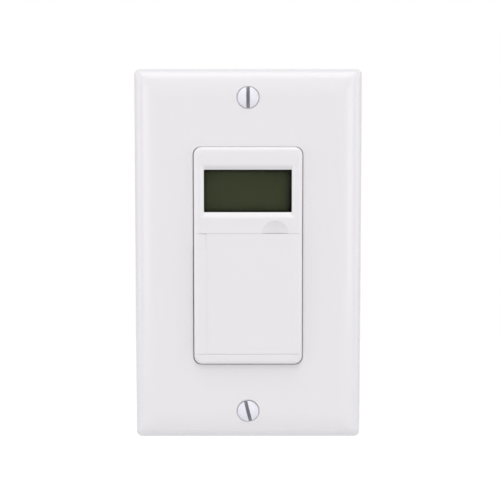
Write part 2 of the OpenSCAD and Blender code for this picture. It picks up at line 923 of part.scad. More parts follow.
// Binding screw in a side terminal, backed off its plate to take a wire
module binding_screw(t) {
    seat = terminal_x + terminal_t + wire_room;
    half = 1.2 * terminal_head_r;
    difference() {
        union() {
            side_bar(t, seat, seat + terminal_head_t, terminal_head_r);
            side_bar(t, seat - terminal_screw_len, seat + 0.1, terminal_screw_r);
        }
        side_box(
            t, seat + terminal_head_t / 2, seat + terminal_head_t + 1,
            terminal_y - half, terminal_y + half, box_slot_w / 2
        );
    }
}

module brass_terminal_screws() {
    color("gold") for (t = hot_terminals) binding_screw(t);
}

module neutral_terminal_screw() {
    color("silver") for (t = neutral_terminals) binding_screw(t);
}

// Push paddle, its pin and the door

module paddle_pin() {
    color("silver") bar_x(pivot_y, pivot_z, -pin_half_len, pin_half_len, pin_r);
}

module pan_outline(inset) {
    round_rect(inset - pan_half_w, pan_z0 + inset, pan_half_w - inset, pan_z1 - inset, 1);
}

// Holes in the pan floor that the keys stand in
module floor_holes() {
    for (p = key_places) translate(p) key_outline(floor_gap, floor_gap, key_corner_r);
    translate(reset_place) circle(reset_r + floor_gap);
}

module paddle_ear(x0, x1) {
    difference() {
        union() {
            bar_x(pivot_y, pivot_z, x0, x1, ear_r);
            box(x0, x1, floor_y1 - 0.4, pivot_y, pivot_z - ear_r + 0.1, pan_z1);
        }
        bar_x(pivot_y, pivot_z, x0 - 1, x1 + 1, pin_r + eps);
    }
}

module push_paddle() {
    e = insert_edge_r;
    c = insert_corner_r;
    color("white") difference() {
        union() {
            slab(rim_y0, rim_y1) difference() {
                round_rect(-insert_x, -insert_z, insert_x, paddle_top, [c, c, 0, 0]);
                pan_outline(pan_wall);
            }
            slab(rim_y1 - 0.1, floor_y1) difference() {
                pan_outline(0);
                pan_outline(pan_wall);
            }
            slab(floor_y0, floor_y1) difference() {
                pan_outline(0);
                floor_holes();
            }
            soft_block(
                -insert_x, insert_x, -insert_z, border_top, face_y, rim_y1, [e, e, e, 0.2], [c, c, 0, 0]
            );
            soft_block(-insert_x, knuckle_x, knuckle_z, paddle_top, face_y, rim_y1, [e, 0.2, 0.2, 0.3], 0);
            for (s = [-1, 1]) paddle_ear(s * ear_x - ear_half, s * ear_x + ear_half);
        }
        bar_z(hinge_x, hinge_y, knuckle_z - 1, hinge_top + hinge_end_gap, hinge_bore_r);
        bar_z(hinge_x, hinge_y, hinge_foot - hinge_end_gap, border_top + 1, hinge_bore_r);
        bar_z(hinge_x, hinge_y, border_top, knuckle_z, hinge_sweep_r);
        box(
            latch_x - latch_half_w - 0.25, latch_x + latch_half_w + 0.25, rim_y0 - 1, rim_y1 + 1,
            latch_z - latch_half_h - 0.4, latch_z + latch_half_h + 0.4
        );
    }
}

module access_door() {
    e = insert_edge_r;
    base = border_top + seam_gap;
    shoulder = knuckle_z - seam_gap;
    color("white") {
        difference() {
            soft_block(-insert_x, insert_x, base, paddle_top, face_y, door_back, [e, e, 0.3, 0.3], 0);
            box(-insert_x - 1, knuckle_x + notch_gap, face_y - 1, door_back + 1, shoulder, paddle_top + 1);
            box(
                score_x - score_half_w, score_x + score_half_w, face_y - 1, face_y + score_depth,
                base - 1, shoulder
            );
        }
        bar_z(hinge_x, hinge_y, shoulder - 0.5, hinge_top, trunnion_r);
        bar_z(hinge_x, hinge_y, hinge_foot, base + 0.5, trunnion_r);
        box(
            latch_x - latch_half_w, latch_x + latch_half_w, door_back - 0.1, door_back + latch_reach,
            latch_z - latch_half_h, latch_z + latch_half_h
        );
    }
}

// Keys, plunger and switch stems

module face_key(p, tint) {
    color(tint) translate([p[0], 0, p[1]]) {
        slab(key_top, key_flange_y0 + 0.1) key_outline(0, 0, key_corner_r);
        slab(key_flange_y0, key_flange_y1) key_outline(key_lip_x, key_lip_z, 0.6);
    }
}

module switch_stem(p) {
    color("dimgray") bar_y(p[0], p[1], key_flange_y1, stem_end, stem_r);
}

module reset_key() {
    color("gray") {
        bar_y(reset_place[0], reset_place[1], reset_top, key_flange_y0 + 0.1, reset_r);
        bar_y(reset_place[0], reset_place[1], key_flange_y0, key_flange_y1, reset_r + round_lip + 0.1);
    }
}

module on_off_plunger() {
    color("whitesmoke") {
        bar_y(0, plunger_z, plunger_top, key_flange_y0 + 0.1, plunger_r);
        bar_y(0, plunger_z, key_flange_y0, key_flange_y1, plunger_r + round_lip);
    }
}

wall_plate();
plate_screws();
mounting_strap();
box_screws();
screw_retainers();
ground_screw();
front_bezel();
display_lens();
lcd_panel();
lcd_holder();
zebra_strips();
control_board();
board_screws();
controller_chip();
clock_crystal();
cell_holder();
coin_cell();
cell_clip();
switch_bodies();
header_blocks();
ribbon_link();
power_board();
power_board_screws();
relay();
film_capacitor();
electrolytic_capacitors();
varistor();
fusible_resistor();
rectifier_diodes();
rear_housing();
housing_screws();
terminal_plates();
brass_terminal_screws();
neutral_terminal_screw();
paddle_pin();
push_paddle();
access_door();
on_off_plunger();
switch_stem([0, plunger_z]);  // on_off_stem
face_key(key_places[0], "lightgray");  // program_key
switch_stem(key_places[0]);  // program_stem
face_key(key_places[1], "lightgray");  // mode_key
switch_stem(key_places[1]);  // mode_stem
face_key(key_places[2], "lightgray");  // day_key
switch_stem(key_places[2]);  // day_stem
face_key(key_places[3], "lightgray");  // hour_key
switch_stem(key_places[3]);  // hour_stem
face_key(key_places[4], "lightgray");  // minute_key
switch_stem(key_places[4]);  // minute_stem
reset_key();
switch_stem(reset_place);  // reset_stem
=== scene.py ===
"""Dressed model of an in-wall timer light switch with a decorator wall plate.

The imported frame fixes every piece's place. Each sub-assembly below is a class that models the
pieces that show, in millimetres, and gives them their finish. A plain studio shows the result.
"""

import json
import logging
import math
from collections.abc import Callable, Sequence
from dataclasses import dataclass, replace
from enum import Enum

import bmesh
import bpy
from mathutils import Matrix, Vector


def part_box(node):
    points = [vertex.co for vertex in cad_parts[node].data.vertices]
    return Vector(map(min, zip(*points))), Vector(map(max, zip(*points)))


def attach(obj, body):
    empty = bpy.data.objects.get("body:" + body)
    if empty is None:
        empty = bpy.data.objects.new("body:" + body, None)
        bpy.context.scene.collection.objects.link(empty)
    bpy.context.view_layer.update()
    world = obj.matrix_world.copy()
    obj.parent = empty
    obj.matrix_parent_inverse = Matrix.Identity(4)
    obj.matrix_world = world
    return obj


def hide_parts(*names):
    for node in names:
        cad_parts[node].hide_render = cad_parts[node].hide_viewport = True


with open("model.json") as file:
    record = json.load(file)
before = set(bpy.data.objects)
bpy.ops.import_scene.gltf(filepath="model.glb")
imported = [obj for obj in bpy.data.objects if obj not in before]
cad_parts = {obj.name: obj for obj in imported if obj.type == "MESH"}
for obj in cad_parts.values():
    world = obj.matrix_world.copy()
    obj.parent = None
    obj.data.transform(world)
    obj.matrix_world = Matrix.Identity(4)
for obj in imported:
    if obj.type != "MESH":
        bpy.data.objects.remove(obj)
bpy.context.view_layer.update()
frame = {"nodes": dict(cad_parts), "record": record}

LOG = logging.getLogger("timer_switch")
MM = 0.001
FULL_TURN = 2 * math.pi
RIGHT_ANGLE = math.pi / 2

# How far a cutter reaches past the surface that it cuts, and a fused piece into what carries it.
PAST = 1.0
BITE = 0.1

# Distances in millimetres below which points count as one, and the bend in degrees that counts as flat.
NEAR = 1e-4
WELD = 2e-4
CAD_WELD = 1e-3
FLAT_BEND = 0.5

# Steps of the rounds: corners of an outline, outer edge and border of a rolled edge, dome of a screw.
CORNER_STEPS = 8
EDGE_STEPS = 8
BORDER_STEPS = 12
DOME_STEPS = 10

# Grain of every finish: detail of its marks, wide waves per metre, and how both act on the surface.
FINE_DETAIL = 3.0
BROAD_DETAIL = 2.0
BROAD_WAVES = 90.0
TINT_BIAS = 0.25
TINT_SPAN = (0.3, 0.7)
SHEEN_SPAN = (0.7, 1.3)
LEAST_ROUGHNESS = 0.02
RELIEF_STRENGTH = 0.6

# Left, right, lower and upper edge of the display's window, the two ends of the switch, and plain white.
WINDOW_SIDES = (-13.5, 13.35, 13.5, 26.5)
ENDS = (("upper", 1), ("lower", -1))
WHITE = (1.0, 1.0, 1.0, 1.0)

Span = tuple[float, float]
Point = tuple[float, float, float]
Sides = tuple[float, float, float, float]
Socket = bpy.types.NodeSocket
EdgeTest = Callable[[bmesh.types.BMEdge], bool]


class Grain(Enum):
    """Pattern of a surface: the size of its marks in millimetres along X, Y and Z."""

    POLISHED = (1.6, 1.6, 1.6)
    TEXTURED = (0.35, 0.35, 0.35)
    BRUSHED = (7.0, 0.5, 0.12)
    PLATED = (0.8, 0.8, 0.8)
    FIBROUS = (2.4, 0.3, 0.22)
    WOVEN = (0.5, 0.5, 0.5)


class Heading(Enum):
    """Way that a screw's shank points, as a turn from pointing into the wall."""

    WALL = (0.0, "Z")
    FRONT = (180.0, "Z")
    LEFT = (90.0, "Z")
    RIGHT = (-90.0, "Z")
    UP = (90.0, "X")

    def turn(self) -> Matrix:
        """Matrix that turns a screw drawn along +Y to this heading."""
        degrees, axis = self.value
        return Matrix.Rotation(math.radians(degrees), 4, axis)


class Head(Enum):
    """Shape of a screw's head."""

    OVAL = "countersunk with a domed top"
    PAN = "straight sides with a rounded rim"
    HEX = "six sides on a washer"


class Drive(Enum):
    """Recess that a screwdriver turns."""

    SLOT = "one straight slot"
    CROSS = "two crossing slots"


class NodeSheet:
    """Shader nodes of a material or of the world."""

    def __init__(self, tree: bpy.types.NodeTree) -> None:
        """Starts with an empty sheet."""
        self.tree = tree
        tree.nodes.clear()

    def add(
        self, kind: str, sockets: dict | None = None, settings: dict | None = None
    ) -> bpy.types.Node:
        """Adds a node.

        Args:
            kind: Blender's name for the node.
            sockets: Inputs by name or index, each a value or the output socket that feeds it.
            settings: Properties of the node itself.

        Returns:
            The new node.
        """
        node = self.tree.nodes.new(kind)
        for key, value in (settings or {}).items():
            setattr(node, key, value)
        for key, value in (sockets or {}).items():
            if isinstance(value, Socket):
                self.tree.links.new(value, node.inputs[key])
            else:
                node.inputs[key].default_value = value
        return node


@dataclass(frozen=True)
class Finish:
    """How one material looks.

    Attributes:
        name: Name of the finish.
        slot: The record's material slot.
        colour: Linear base colour.
        roughness: Middle of the roughness.
        grain: Pattern of the surface.
        metallic: 1 for bare metal.
        specular: Strength of the mirror part, 0.5 for common plastic.
        mottle: Share by which the colour varies.
        relief: Height of the grain in millimetres.
        uneven: How far the roughness strays from its middle.
        clear: 1 where light passes through.
        ior: Index of refraction.
    """

    name: str
    slot: str
    colour: Point
    roughness: float
    grain: Grain = Grain.POLISHED
    metallic: float = 0.0
    specular: float = 0.5
    mottle: float = 0.02
    relief: float = 0.004
    uneven: float = 0.05
    clear: float = 0.0
    ior: float = 1.46

    def material(self) -> bpy.types.Material:
        """Makes the finish's node material, once.

        Returns:
            The material.
        """
        made = bpy.data.materials.get(self.name)
        if made:
            return made
        made = bpy.data.materials.new(self.name)
        made.use_nodes = True
        sheet = NodeSheet(made.node_tree)
        place = sheet.add("ShaderNodeTexCoord").outputs["Object"]
        density = Vector(1 / (size * MM) for size in self.grain.value)
        fine = self._noise(sheet, place, density, FINE_DETAIL)
        broad = self._noise(sheet, place, Vector((BROAD_WAVES,) * 3), BROAD_DETAIL)
        shader = sheet.add("ShaderNodeBsdfPrincipled", {
            "Metallic": self.metallic,
            "Specular IOR Level": self.specular,
            "Transmission Weight": self.clear,
            "IOR": self.ior,
            "Base Color": self._tint(sheet, place, fine, broad),
            "Roughness": self._sheen(sheet, fine, broad),
            "Normal": self._relief(sheet, fine),
        })
        sheet.add("ShaderNodeOutputMaterial", {"Surface": shader.outputs[0]})
        made.diffuse_color = (*self.colour, 1.0)
        return made

    def _noise(self, sheet: NodeSheet, place: Socket, density: Vector, detail: float) -> Socket:
        """Adds a noise.

        Args:
            sheet: Where the nodes go.
            place: Coordinates on the piece.
            density: Marks per metre along X, Y and Z.
            detail: Number of finer layers.

        Returns:
            The height of the noise.
        """
        scaled = sheet.add("ShaderNodeMapping", {"Vector": place, "Scale": density})
        noise = sheet.add("ShaderNodeTexNoise", {
            "Vector": scaled.outputs[0], "Scale": 1.0, "Detail": detail,
        })
        return noise.outputs[0]

    def _tint(self, sheet: NodeSheet, place: Socket, fine: Socket, broad: Socket) -> Socket:
        """Adds the colour, a little darker in the grain's valleys.

        Args:
            sheet: Where the nodes go.
            place: Coordinates on the piece.
            fine: Height of the grain.
            broad: Height of the wide waves.

        Returns:
            The colour.
        """
        both = sheet.add("ShaderNodeMath", {
            0: fine, 1: broad, 2: TINT_BIAS,
        }, {"operation": "MULTIPLY_ADD"})
        ramp = sheet.add("ShaderNodeValToRGB", {"Fac": both.outputs[0]})
        low, high = ramp.color_ramp.elements
        low.position, high.position = TINT_SPAN
        low.color = (*(part * (1 - self.mottle) for part in self.colour), 1.0)
        high.color = (*(min(part * (1 + self.mottle), 1.0) for part in self.colour), 1.0)
        return ramp.outputs[0]

    def _sheen(self, sheet: NodeSheet, fine: Socket, broad: Socket) -> Socket:
        """Adds a roughness that changes over the surface.

        Args:
            sheet: Where the nodes go.
            fine: Height of the grain.
            broad: Height of the wide waves.

        Returns:
            The roughness.
        """
        both = sheet.add("ShaderNodeMath", {0: fine, 1: broad}, {"operation": "ADD"})
        spread = sheet.add("ShaderNodeMapRange", {
            "Value": both.outputs[0],
            "From Min": SHEEN_SPAN[0],
            "From Max": SHEEN_SPAN[1],
            "To Min": max(self.roughness - self.uneven, LEAST_ROUGHNESS),
            "To Max": min(self.roughness + self.uneven, 1.0),
        })
        return spread.outputs[0]

    def _relief(self, sheet: NodeSheet, fine: Socket) -> Socket:
        """Adds the grain's height and returns the bent normal."""
        bump = sheet.add("ShaderNodeBump", {
            "Height": fine, "Strength": RELIEF_STRENGTH, "Distance": self.relief * MM,
        })
        return bump.outputs[0]


@dataclass(frozen=True)
class DisplayFinish(Finish):
    """Finish of an unlit display, which darkens where the window's edges shade it.

    Attributes:
        window: Left, right, lower and upper edge of the window in millimetres.
        shade_w: Width of the shade along each of those edges.
        shade: What is left of the colour at an edge.
    """

    window: Sides = WINDOW_SIDES
    shade_w: Sides = (0.1, 2.6, 1.0, 1.6)
    shade: float = 0.15

    def _tint(self, sheet: NodeSheet, place: Socket, fine: Socket, broad: Socket) -> Socket:
        """Adds the colour with its shaded edges.

        Args:
            sheet: Where the nodes go.
            place: Coordinates on the piece.
            fine: Height of the grain.
            broad: Height of the wide waves.

        Returns:
            The colour.
        """
        colour = super()._tint(sheet, place, fine, broad)
        axes = sheet.add("ShaderNodeSeparateXYZ", {"Vector": place}).outputs
        inwards = (1, -1, 1, -1)
        for axis, edge, width, way in zip("XXZZ", self.window, self.shade_w, inwards):
            inside = sheet.add("ShaderNodeMath", {
                0: axes[axis], 1: way / MM, 2: -way * edge,
            }, {"operation": "MULTIPLY_ADD"})
            light = sheet.add("ShaderNodeMapRange", {
                "Value": inside.outputs[0],
                "From Min": 0.0,
                "From Max": width,
                "To Min": self.shade,
                "To Max": 1.0,
            }, {"interpolation_type": "SMOOTHSTEP"})
            dimmed = sheet.add("ShaderNodeVectorMath", {
                0: colour, "Scale": light.outputs[0],
            }, {"operation": "SCALE"})
            colour = dimmed.outputs[0]
        return colour


WHITE_PLASTIC = Finish(
    "white_moulding", "white_plastic", (0.79, 0.775, 0.795), 0.2, mottle=0.003, relief=0.002, uneven=0.02,
)
WHITE_ENAMEL = Finish(
    "white_screw_enamel", "white_enamel", (0.8, 0.79, 0.86), 0.28, Grain.PLATED, relief=0.008,
)
# Painted shade: the dark grey on the faces of the plate screws' slots stands in for the shade inside the
# recess.
SLOT_PAINTED_SHADE = Finish("slot_painted_shade", "white_enamel", (0.24, 0.24, 0.27), 0.5, Grain.BRUSHED, mottle=0.15)
ZINC = Finish(
    "zinc_plating", "zinc_steel", (0.66, 0.67, 0.68), 0.34, Grain.BRUSHED, 1.0, mottle=0.06, relief=0.002,
)
FIBRE = Finish("pressed_fibre", "fibre", (0.45, 0.33, 0.2), 0.8, Grain.FIBROUS, mottle=0.22, relief=0.03)
GREEN_DYE = Finish(
    "green_dyed_steel", "green_screw", (0.03, 0.22, 0.07), 0.36, Grain.PLATED, 0.75, mottle=0.1,
)
CLEAR = Finish(
    "display_window", "clear_lens", (0.97, 0.98, 0.96), 0.04, specular=0.1, mottle=0.0, relief=0.0,
    uneven=0.02, clear=1.0, ior=1.12,
)
LCD = DisplayFinish(
    "unlit_display", "lcd", (0.0306, 0.0371, 0.0163), 0.45, Grain.TEXTURED, specular=0.05, mottle=0.04,
)
ELASTOMER = Finish("contact_rubber", "elastomer", (0.15, 0.15, 0.16), 0.75, Grain.TEXTURED, mottle=0.1)
SOLDER_MASK = Finish(
    "solder_mask", "board", (0.02, 0.14, 0.06), 0.4, Grain.WOVEN, mottle=0.25, relief=0.01,
)
BLACK = Finish("black_moulding", "black_plastic", (0.03, 0.03, 0.032), 0.5, Grain.TEXTURED, mottle=0.1)
NICKEL = Finish("nickel_plating", "cell_steel", (0.7, 0.7, 0.7), 0.26, Grain.PLATED, 1.0, mottle=0.05)
RELAY_BLUE = Finish("relay_case", "relay_blue", (0.03, 0.12, 0.45), 0.35, mottle=0.04)
FILM_YELLOW = Finish("film_case", "film_yellow", (0.7, 0.5, 0.05), 0.35, mottle=0.04)
SLEEVE = Finish("shrink_sleeve", "capacitor_sleeve", (0.02, 0.03, 0.1), 0.3, mottle=0.1)
DIPPED_BLUE = Finish(
    "dipped_coat", "varistor_blue", (0.05, 0.2, 0.45), 0.35, Grain.PLATED, mottle=0.08, relief=0.02,
)
LACQUER = Finish("resistor_lacquer", "resistor_body", (0.35, 0.45, 0.5), 0.45, Grain.PLATED, mottle=0.1)
IVORY = Finish("ivory_moulding", "ivory_plastic", (0.7, 0.66, 0.52), 0.42, mottle=0.02)
RIBBON = Finish("ribbon_jacket", "ribbon_grey", (0.4, 0.4, 0.42), 0.55, Grain.FIBROUS, mottle=0.08)
HOUSING = Finish(
    "textured_housing", "housing_plastic", (0.03, 0.03, 0.033), 0.52, Grain.TEXTURED, mottle=0.12,
    relief=0.02,
)
BRASS = Finish(
    "bright_brass", "brass", (0.72, 0.5, 0.2), 0.28, Grain.BRUSHED, 1.0, mottle=0.06, uneven=0.08,
)
KEY_GREY = Finish(
    "key_moulding", "key_grey", (0.45, 0.46, 0.48), 0.42, Grain.TEXTURED, mottle=0.03, relief=0.006,
)
LEGEND_INK = Finish("printed_legend", "key_grey", (0.08, 0.085, 0.09), 0.5, Grain.TEXTURED, mottle=0.1)

SLOT_FINISHES = {
    finish.slot: finish for finish in (
        WHITE_PLASTIC, WHITE_ENAMEL, ZINC, FIBRE, GREEN_DYE, CLEAR, LCD, ELASTOMER, SOLDER_MASK, BLACK,
        NICKEL, RELAY_BLUE, FILM_YELLOW, SLEEVE, DIPPED_BLUE, LACQUER, IVORY, RIBBON, HOUSING, BRASS,
        KEY_GREY,
    )
}


@dataclass(frozen=True)
class Rect:
    """Rectangle seen from the front, in millimetres."""

    x0: float
    x1: float
    z0: float
    z1: float

    @classmethod
    def round_point(cls, x: float, z: float, half_w: float, half_h: float) -> "Rect":
        """Rectangle of the given half sizes round a point."""
        return cls(x - half_w, x + half_w, z - half_h, z + half_h)

    def grown(self, by: float) -> "Rect":
        """The rectangle with each side moved outwards."""
        return Rect(self.x0 - by, self.x1 + by, self.z0 - by, self.z1 + by)

    def towards(self, other: "Rect", share: float) -> "Rect":
        """The rectangle part of the way to another one."""
        sides = zip((*self.x, *self.z), (*other.x, *other.z))
        return Rect(*(here + (there - here) * share for here, there in sides))

    @property
    def x(self) -> Span:
        """Left and right side."""
        return self.x0, self.x1

    @property
    def z(self) -> Span:
        """Lower and upper side."""
        return self.z0, self.z1

    @property
    def centre(self) -> Vector:
        """Middle of the rectangle, at y = 0."""
        return Vector(((self.x0 + self.x1) / 2, 0, (self.z0 + self.z1) / 2))

    @property
    def size(self) -> Vector:
        """Width and height as X and Z, with 1 as Y."""
        return Vector((self.x1 - self.x0, 1, self.z1 - self.z0))


@dataclass(frozen=True)
class Box:
    """Lowest and highest corner of a CAD node, in millimetres."""

    low: Vector
    high: Vector

    @classmethod
    def of(cls, node: str) -> "Box":
        """Box of a CAD node at rest."""
        low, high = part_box(node)
        return cls(low / MM, high / MM)

    @property
    def rect(self) -> Rect:
        """The box seen from the front."""
        return Rect(self.low.x, self.high.x, self.low.z, self.high.z)

    @property
    def y(self) -> Span:
        """Front and back."""
        return self.low.y, self.high.y

    @property
    def centre(self) -> Vector:
        """Middle of the box."""
        return (self.low + self.high) / 2


def at(**place: float) -> EdgeTest:
    """Picks the edges that lie wholly at the given coordinates.

    Args:
        place: Values for any of x, y and z.

    Returns:
        A test for one edge.
    """
    wanted = [("xyz".index(axis), value) for axis, value in place.items()]
    return lambda edge: all(
        abs(vert.co[axis] - value) < NEAR for vert in edge.verts for axis, value in wanted
    )


def fillet(radius: float, steps: int = 5) -> list[Span]:
    """Quarter round of an edge, from the wall to the face.

    Args:
        radius: Radius of the round.
        steps: Straight steps that make it.

    Returns:
        Pairs of the depth below the face and the distance from the wall.
    """
    angles = [RIGHT_ANGLE * step / steps for step in range(steps + 1)]
    return [(radius * (1 - math.sin(a)), radius * (1 - math.cos(a))) for a in angles]


def rolled_edge(width: float, drop: float, edge_r: float) -> list[Span]:
    """Section of a face that falls gently towards a rounded outer edge.

    Args:
        width: Width of the falling border.
        drop: Fall of the border, were it not for the rounded edge.
        edge_r: Radius of the outer edge.

    Returns:
        Pairs of the depth below the face and the distance in from the outline, from the edge in.
    """
    border_r = (width**2 + drop**2) / (2 * drop)
    run = width - edge_r
    edge_depth = border_r - math.sqrt((border_r - edge_r) ** 2 - run**2)
    tilt = math.asin(run / (border_r - edge_r))
    rest = tilt - RIGHT_ANGLE
    edge_angles = [RIGHT_ANGLE + rest * step / EDGE_STEPS for step in range(EDGE_STEPS + 1)]
    border_angles = [tilt * (1 - step / BORDER_STEPS) for step in range(1, BORDER_STEPS + 1)]
    edge = [(edge_depth - edge_r * math.cos(a), edge_r * (1 - math.sin(a))) for a in edge_angles]
    border = [(border_r * (1 - math.cos(a)), width - border_r * math.sin(a)) for a in border_angles]
    return edge + border


class Workpiece:
    """A closed mesh in the making, in millimetres, shaped by mesh operators."""

    def __init__(self) -> None:
        """Starts with an empty mesh."""
        self.mesh = bmesh.new()

    @classmethod
    def block(cls, x: Span, y: Span, z: Span) -> "Workpiece":
        """Rectangular block.

        Args:
            x: Left and right side.
            y: Front and back.
            z: Lower and upper side.

        Returns:
            The block.
        """
        piece = cls()
        low = Vector((x[0], y[0], z[0]))
        high = Vector((x[1], y[1], z[1]))
        bmesh.ops.create_cube(piece.mesh, size=1.0)
        bmesh.ops.scale(piece.mesh, vec=high - low, verts=piece.mesh.verts[:])
        bmesh.ops.translate(piece.mesh, vec=(low + high) / 2, verts=piece.mesh.verts[:])
        return piece

    @classmethod
    def slab(cls, rect: Rect, y: Span, corner: float) -> "Workpiece":
        """Plate with rounded corners.

        Args:
            rect: Outline seen from the front.
            y: Front and back.
            corner: Corner radius.

        Returns:
            The plate.
        """
        piece = cls.block(rect.x, y, rect.z)
        for x, z in ((rect.x0, rect.z0), (rect.x1, rect.z0), (rect.x1, rect.z1), (rect.x0, rect.z1)):
            piece.soften(corner, at(x=x, z=z))
        return piece

    @classmethod
    def tower(cls, steps: Sequence[tuple[float, Rect]], corner: float) -> "Workpiece":
        """Solid that passes through a row of outlines.

        Args:
            steps: Depth and outline of each step, in order.
            corner: Corner radius of the first outline, which the others keep in proportion.

        Returns:
            The solid.
        """
        piece = cls()
        mesh = piece.mesh
        depth, rect = steps[0]
        upright = Matrix.Rotation(math.radians(90), 4, "X")
        bmesh.ops.create_grid(mesh, x_segments=1, y_segments=1, size=0.5, matrix=upright)
        bmesh.ops.scale(mesh, vec=rect.size, verts=mesh.verts[:])
        bmesh.ops.translate(mesh, vec=rect.centre + Vector((0, depth, 0)), verts=mesh.verts[:])
        bmesh.ops.bevel(
            mesh, geom=mesh.verts[:], offset=corner, offset_type="OFFSET", segments=CORNER_STEPS,
            profile=0.5, affect="VERTICES", clamp_overlap=False, material=-1,
        )
        face = mesh.faces[:][0]
        for next_depth, next_rect in steps[1:]:
            made = bmesh.ops.extrude_face_region(mesh, geom=[face, *face.edges, *face.verts])["geom"]
            verts = [item for item in made if isinstance(item, bmesh.types.BMVert)]
            face = next(item for item in made if isinstance(item, bmesh.types.BMFace))
            ratio = Vector(b / a for a, b in zip(rect.size, next_rect.size))
            bmesh.ops.scale(mesh, vec=ratio, space=Matrix.Translation(-rect.centre), verts=verts)
            shift = next_rect.centre - rect.centre + Vector((0, next_depth - depth, 0))
            bmesh.ops.translate(mesh, vec=shift, verts=verts)
            depth, rect = next_depth, next_rect
        bmesh.ops.recalc_face_normals(mesh, faces=mesh.faces[:])
        return piece

    @classmethod
    def rolled(cls, rect: Rect, y: Span, section: Sequence[Span], corner: float) -> "Workpiece":
        """Plate whose face falls towards its outer edge.

        Args:
            rect: Outline seen from the front.
            y: Front and back.
            section: Section of the edge, as rolled_edge gives it.
            corner: Corner radius.

        Returns:
            The plate.
        """
        front, back = y
        steps = [(front + depth, rect.grown(-inset)) for depth, inset in section]
        return cls.tower([(back, rect), *steps], corner)

    @classmethod
    def flared(cls, rect: Rect, y: Span, lip: float, corner: float, steps: int = 5) -> "Workpiece":
        """Cutter of an opening with a rounded front edge.

        Args:
            rect: The opening.
            y: Face that it opens in and the end of the cut.
            lip: Radius of the front edge.
            corner: Corner radius.
            steps: Straight steps of the front edge.

        Returns:
            The cutter.
        """
        front, back = y
        edge = [(front + below, rect.grown(away)) for below, away in fillet(lip, steps)]
        return cls.tower([(back, rect), *edge, (front - PAST, rect.grown(lip))], corner)

    @classmethod
    def lathe(cls, profile: Sequence[Span], steps: int = 40) -> "Workpiece":
        """Round solid about the Y axis.

        Args:
            profile: Radius and y of each point, from the axis back to the axis.
            steps: Faces round the axis.

        Returns:
            The solid.
        """
        piece = cls()
        mesh = piece.mesh
        points = [mesh.verts.new((radius, y, 0)) for radius, y in profile]
        lines = [mesh.edges.new(pair) for pair in zip(points, points[1:])]
        bmesh.ops.spin(
            mesh, geom=points + lines, cent=(0, 0, 0), axis=(0, 1, 0), angle=FULL_TURN, steps=steps,
            use_merge=True, use_duplicate=False,
        )
        bmesh.ops.remove_doubles(mesh, verts=mesh.verts[:], dist=NEAR)
        bmesh.ops.recalc_face_normals(mesh, faces=mesh.faces[:])
        return piece

    @classmethod
    def bar(cls, x: float, z: float, y: Span, radius: float) -> "Workpiece":
        """Round bar along Y."""
        return cls.lathe([(0, y[0]), (radius, y[0]), (radius, y[1]), (0, y[1])]).move(x, 0, z)

    @classmethod
    def stud(cls, box: Box, radius: float, crown: float, flange_t: float) -> "Workpiece":
        """Round pin along Y with a flange at its back.

        Args:
            box: Box that it fills, as wide as the flange.
            radius: Radius of the pin.
            crown: Rounding of its front edge.
            flange_t: Thickness of the flange.

        Returns:
            The pin.
        """
        place = box.centre
        front, back = box.y
        flange_r = box.high.x - place.x
        flange_y = back - flange_t
        nose = [(radius - away, front + below) for below, away in reversed(fillet(crown))]
        flange = [(radius, flange_y), (flange_r, flange_y), (flange_r, back), (0, back)]
        return cls.lathe([(0, front), *nose, *flange]).move(place.x, 0, place.z)

    @classmethod
    def thread(cls, crest: float, root: float, y: Span, pitch: float) -> "Workpiece":
        """Ridge of a screw thread about the Y axis.

        Args:
            crest: Outer radius.
            root: Radius of the shank that it stands on.
            y: Where it starts and ends.
            pitch: Advance in one turn.

        Returns:
            The ridge.
        """
        piece = cls()
        mesh = piece.mesh
        steps_a_turn = 18
        half = 0.4 * pitch
        corners = [(root - BITE, -half), (crest, 0), (root - BITE, half)]
        points = [mesh.verts.new((radius, y[0] + half + rise, 0)) for radius, rise in corners]
        section = mesh.faces.new(points)
        turns = (y[1] - y[0] - 2 * half) / pitch
        steps = round(turns * steps_a_turn)
        bmesh.ops.spin(
            mesh, geom=[section, *section.edges, *points], cent=(0, 0, 0), axis=(0, 1, 0),
            dvec=(0, pitch / steps_a_turn, 0), angle=FULL_TURN * steps / steps_a_turn, steps=steps,
            use_merge=False, use_duplicate=False,
        )
        bmesh.ops.recalc_face_normals(mesh, faces=mesh.faces[:])
        return piece

    @classmethod
    def copy_of(cls, node: str) -> "Workpiece":
        """Copy of a CAD node with its loose triangles merged into flat faces.

        Args:
            node: Name of the node.

        Returns:
            The copy.
        """
        piece = cls()
        mesh = piece.mesh
        mesh.from_mesh(frame["nodes"][node].data)
        bmesh.ops.scale(mesh, vec=Vector((1, 1, 1)) / MM, verts=mesh.verts[:])
        bmesh.ops.remove_doubles(mesh, verts=mesh.verts[:], dist=CAD_WELD)
        bmesh.ops.dissolve_limit(
            mesh, angle_limit=math.radians(FLAT_BEND), verts=mesh.verts[:], edges=mesh.edges[:]
        )
        return piece.paint(0)

    @classmethod
    def words(cls, text: str, height: float) -> "Workpiece":
        """Raised lettering that faces the viewer, centred on the origin.

        Args:
            text: The word.
            height: Size of the letters in millimetres.

        Returns:
            The letters, their backs at y = 0.
        """
        rise = 0.02
        curve = bpy.data.curves.new(text, "FONT")
        curve.body = text
        curve.size = height
        curve.align_x = "CENTER"
        curve.align_y = "CENTER"
        curve.extrude = rise
        curve.resolution_u = 3
        holder = bpy.data.objects.new(text, curve)
        bpy.context.scene.collection.objects.link(holder)
        graph = bpy.context.evaluated_depsgraph_get()
        drawn = bpy.data.meshes.new_from_object(holder.evaluated_get(graph))
        bpy.data.objects.remove(holder)
        bpy.data.curves.remove(curve)
        piece = cls()
        piece.mesh.from_mesh(drawn)
        bpy.data.meshes.remove(drawn)
        bmesh.ops.remove_doubles(piece.mesh, verts=piece.mesh.verts[:], dist=NEAR)
        return piece.turn(90, "X").move(0, -rise, 0)

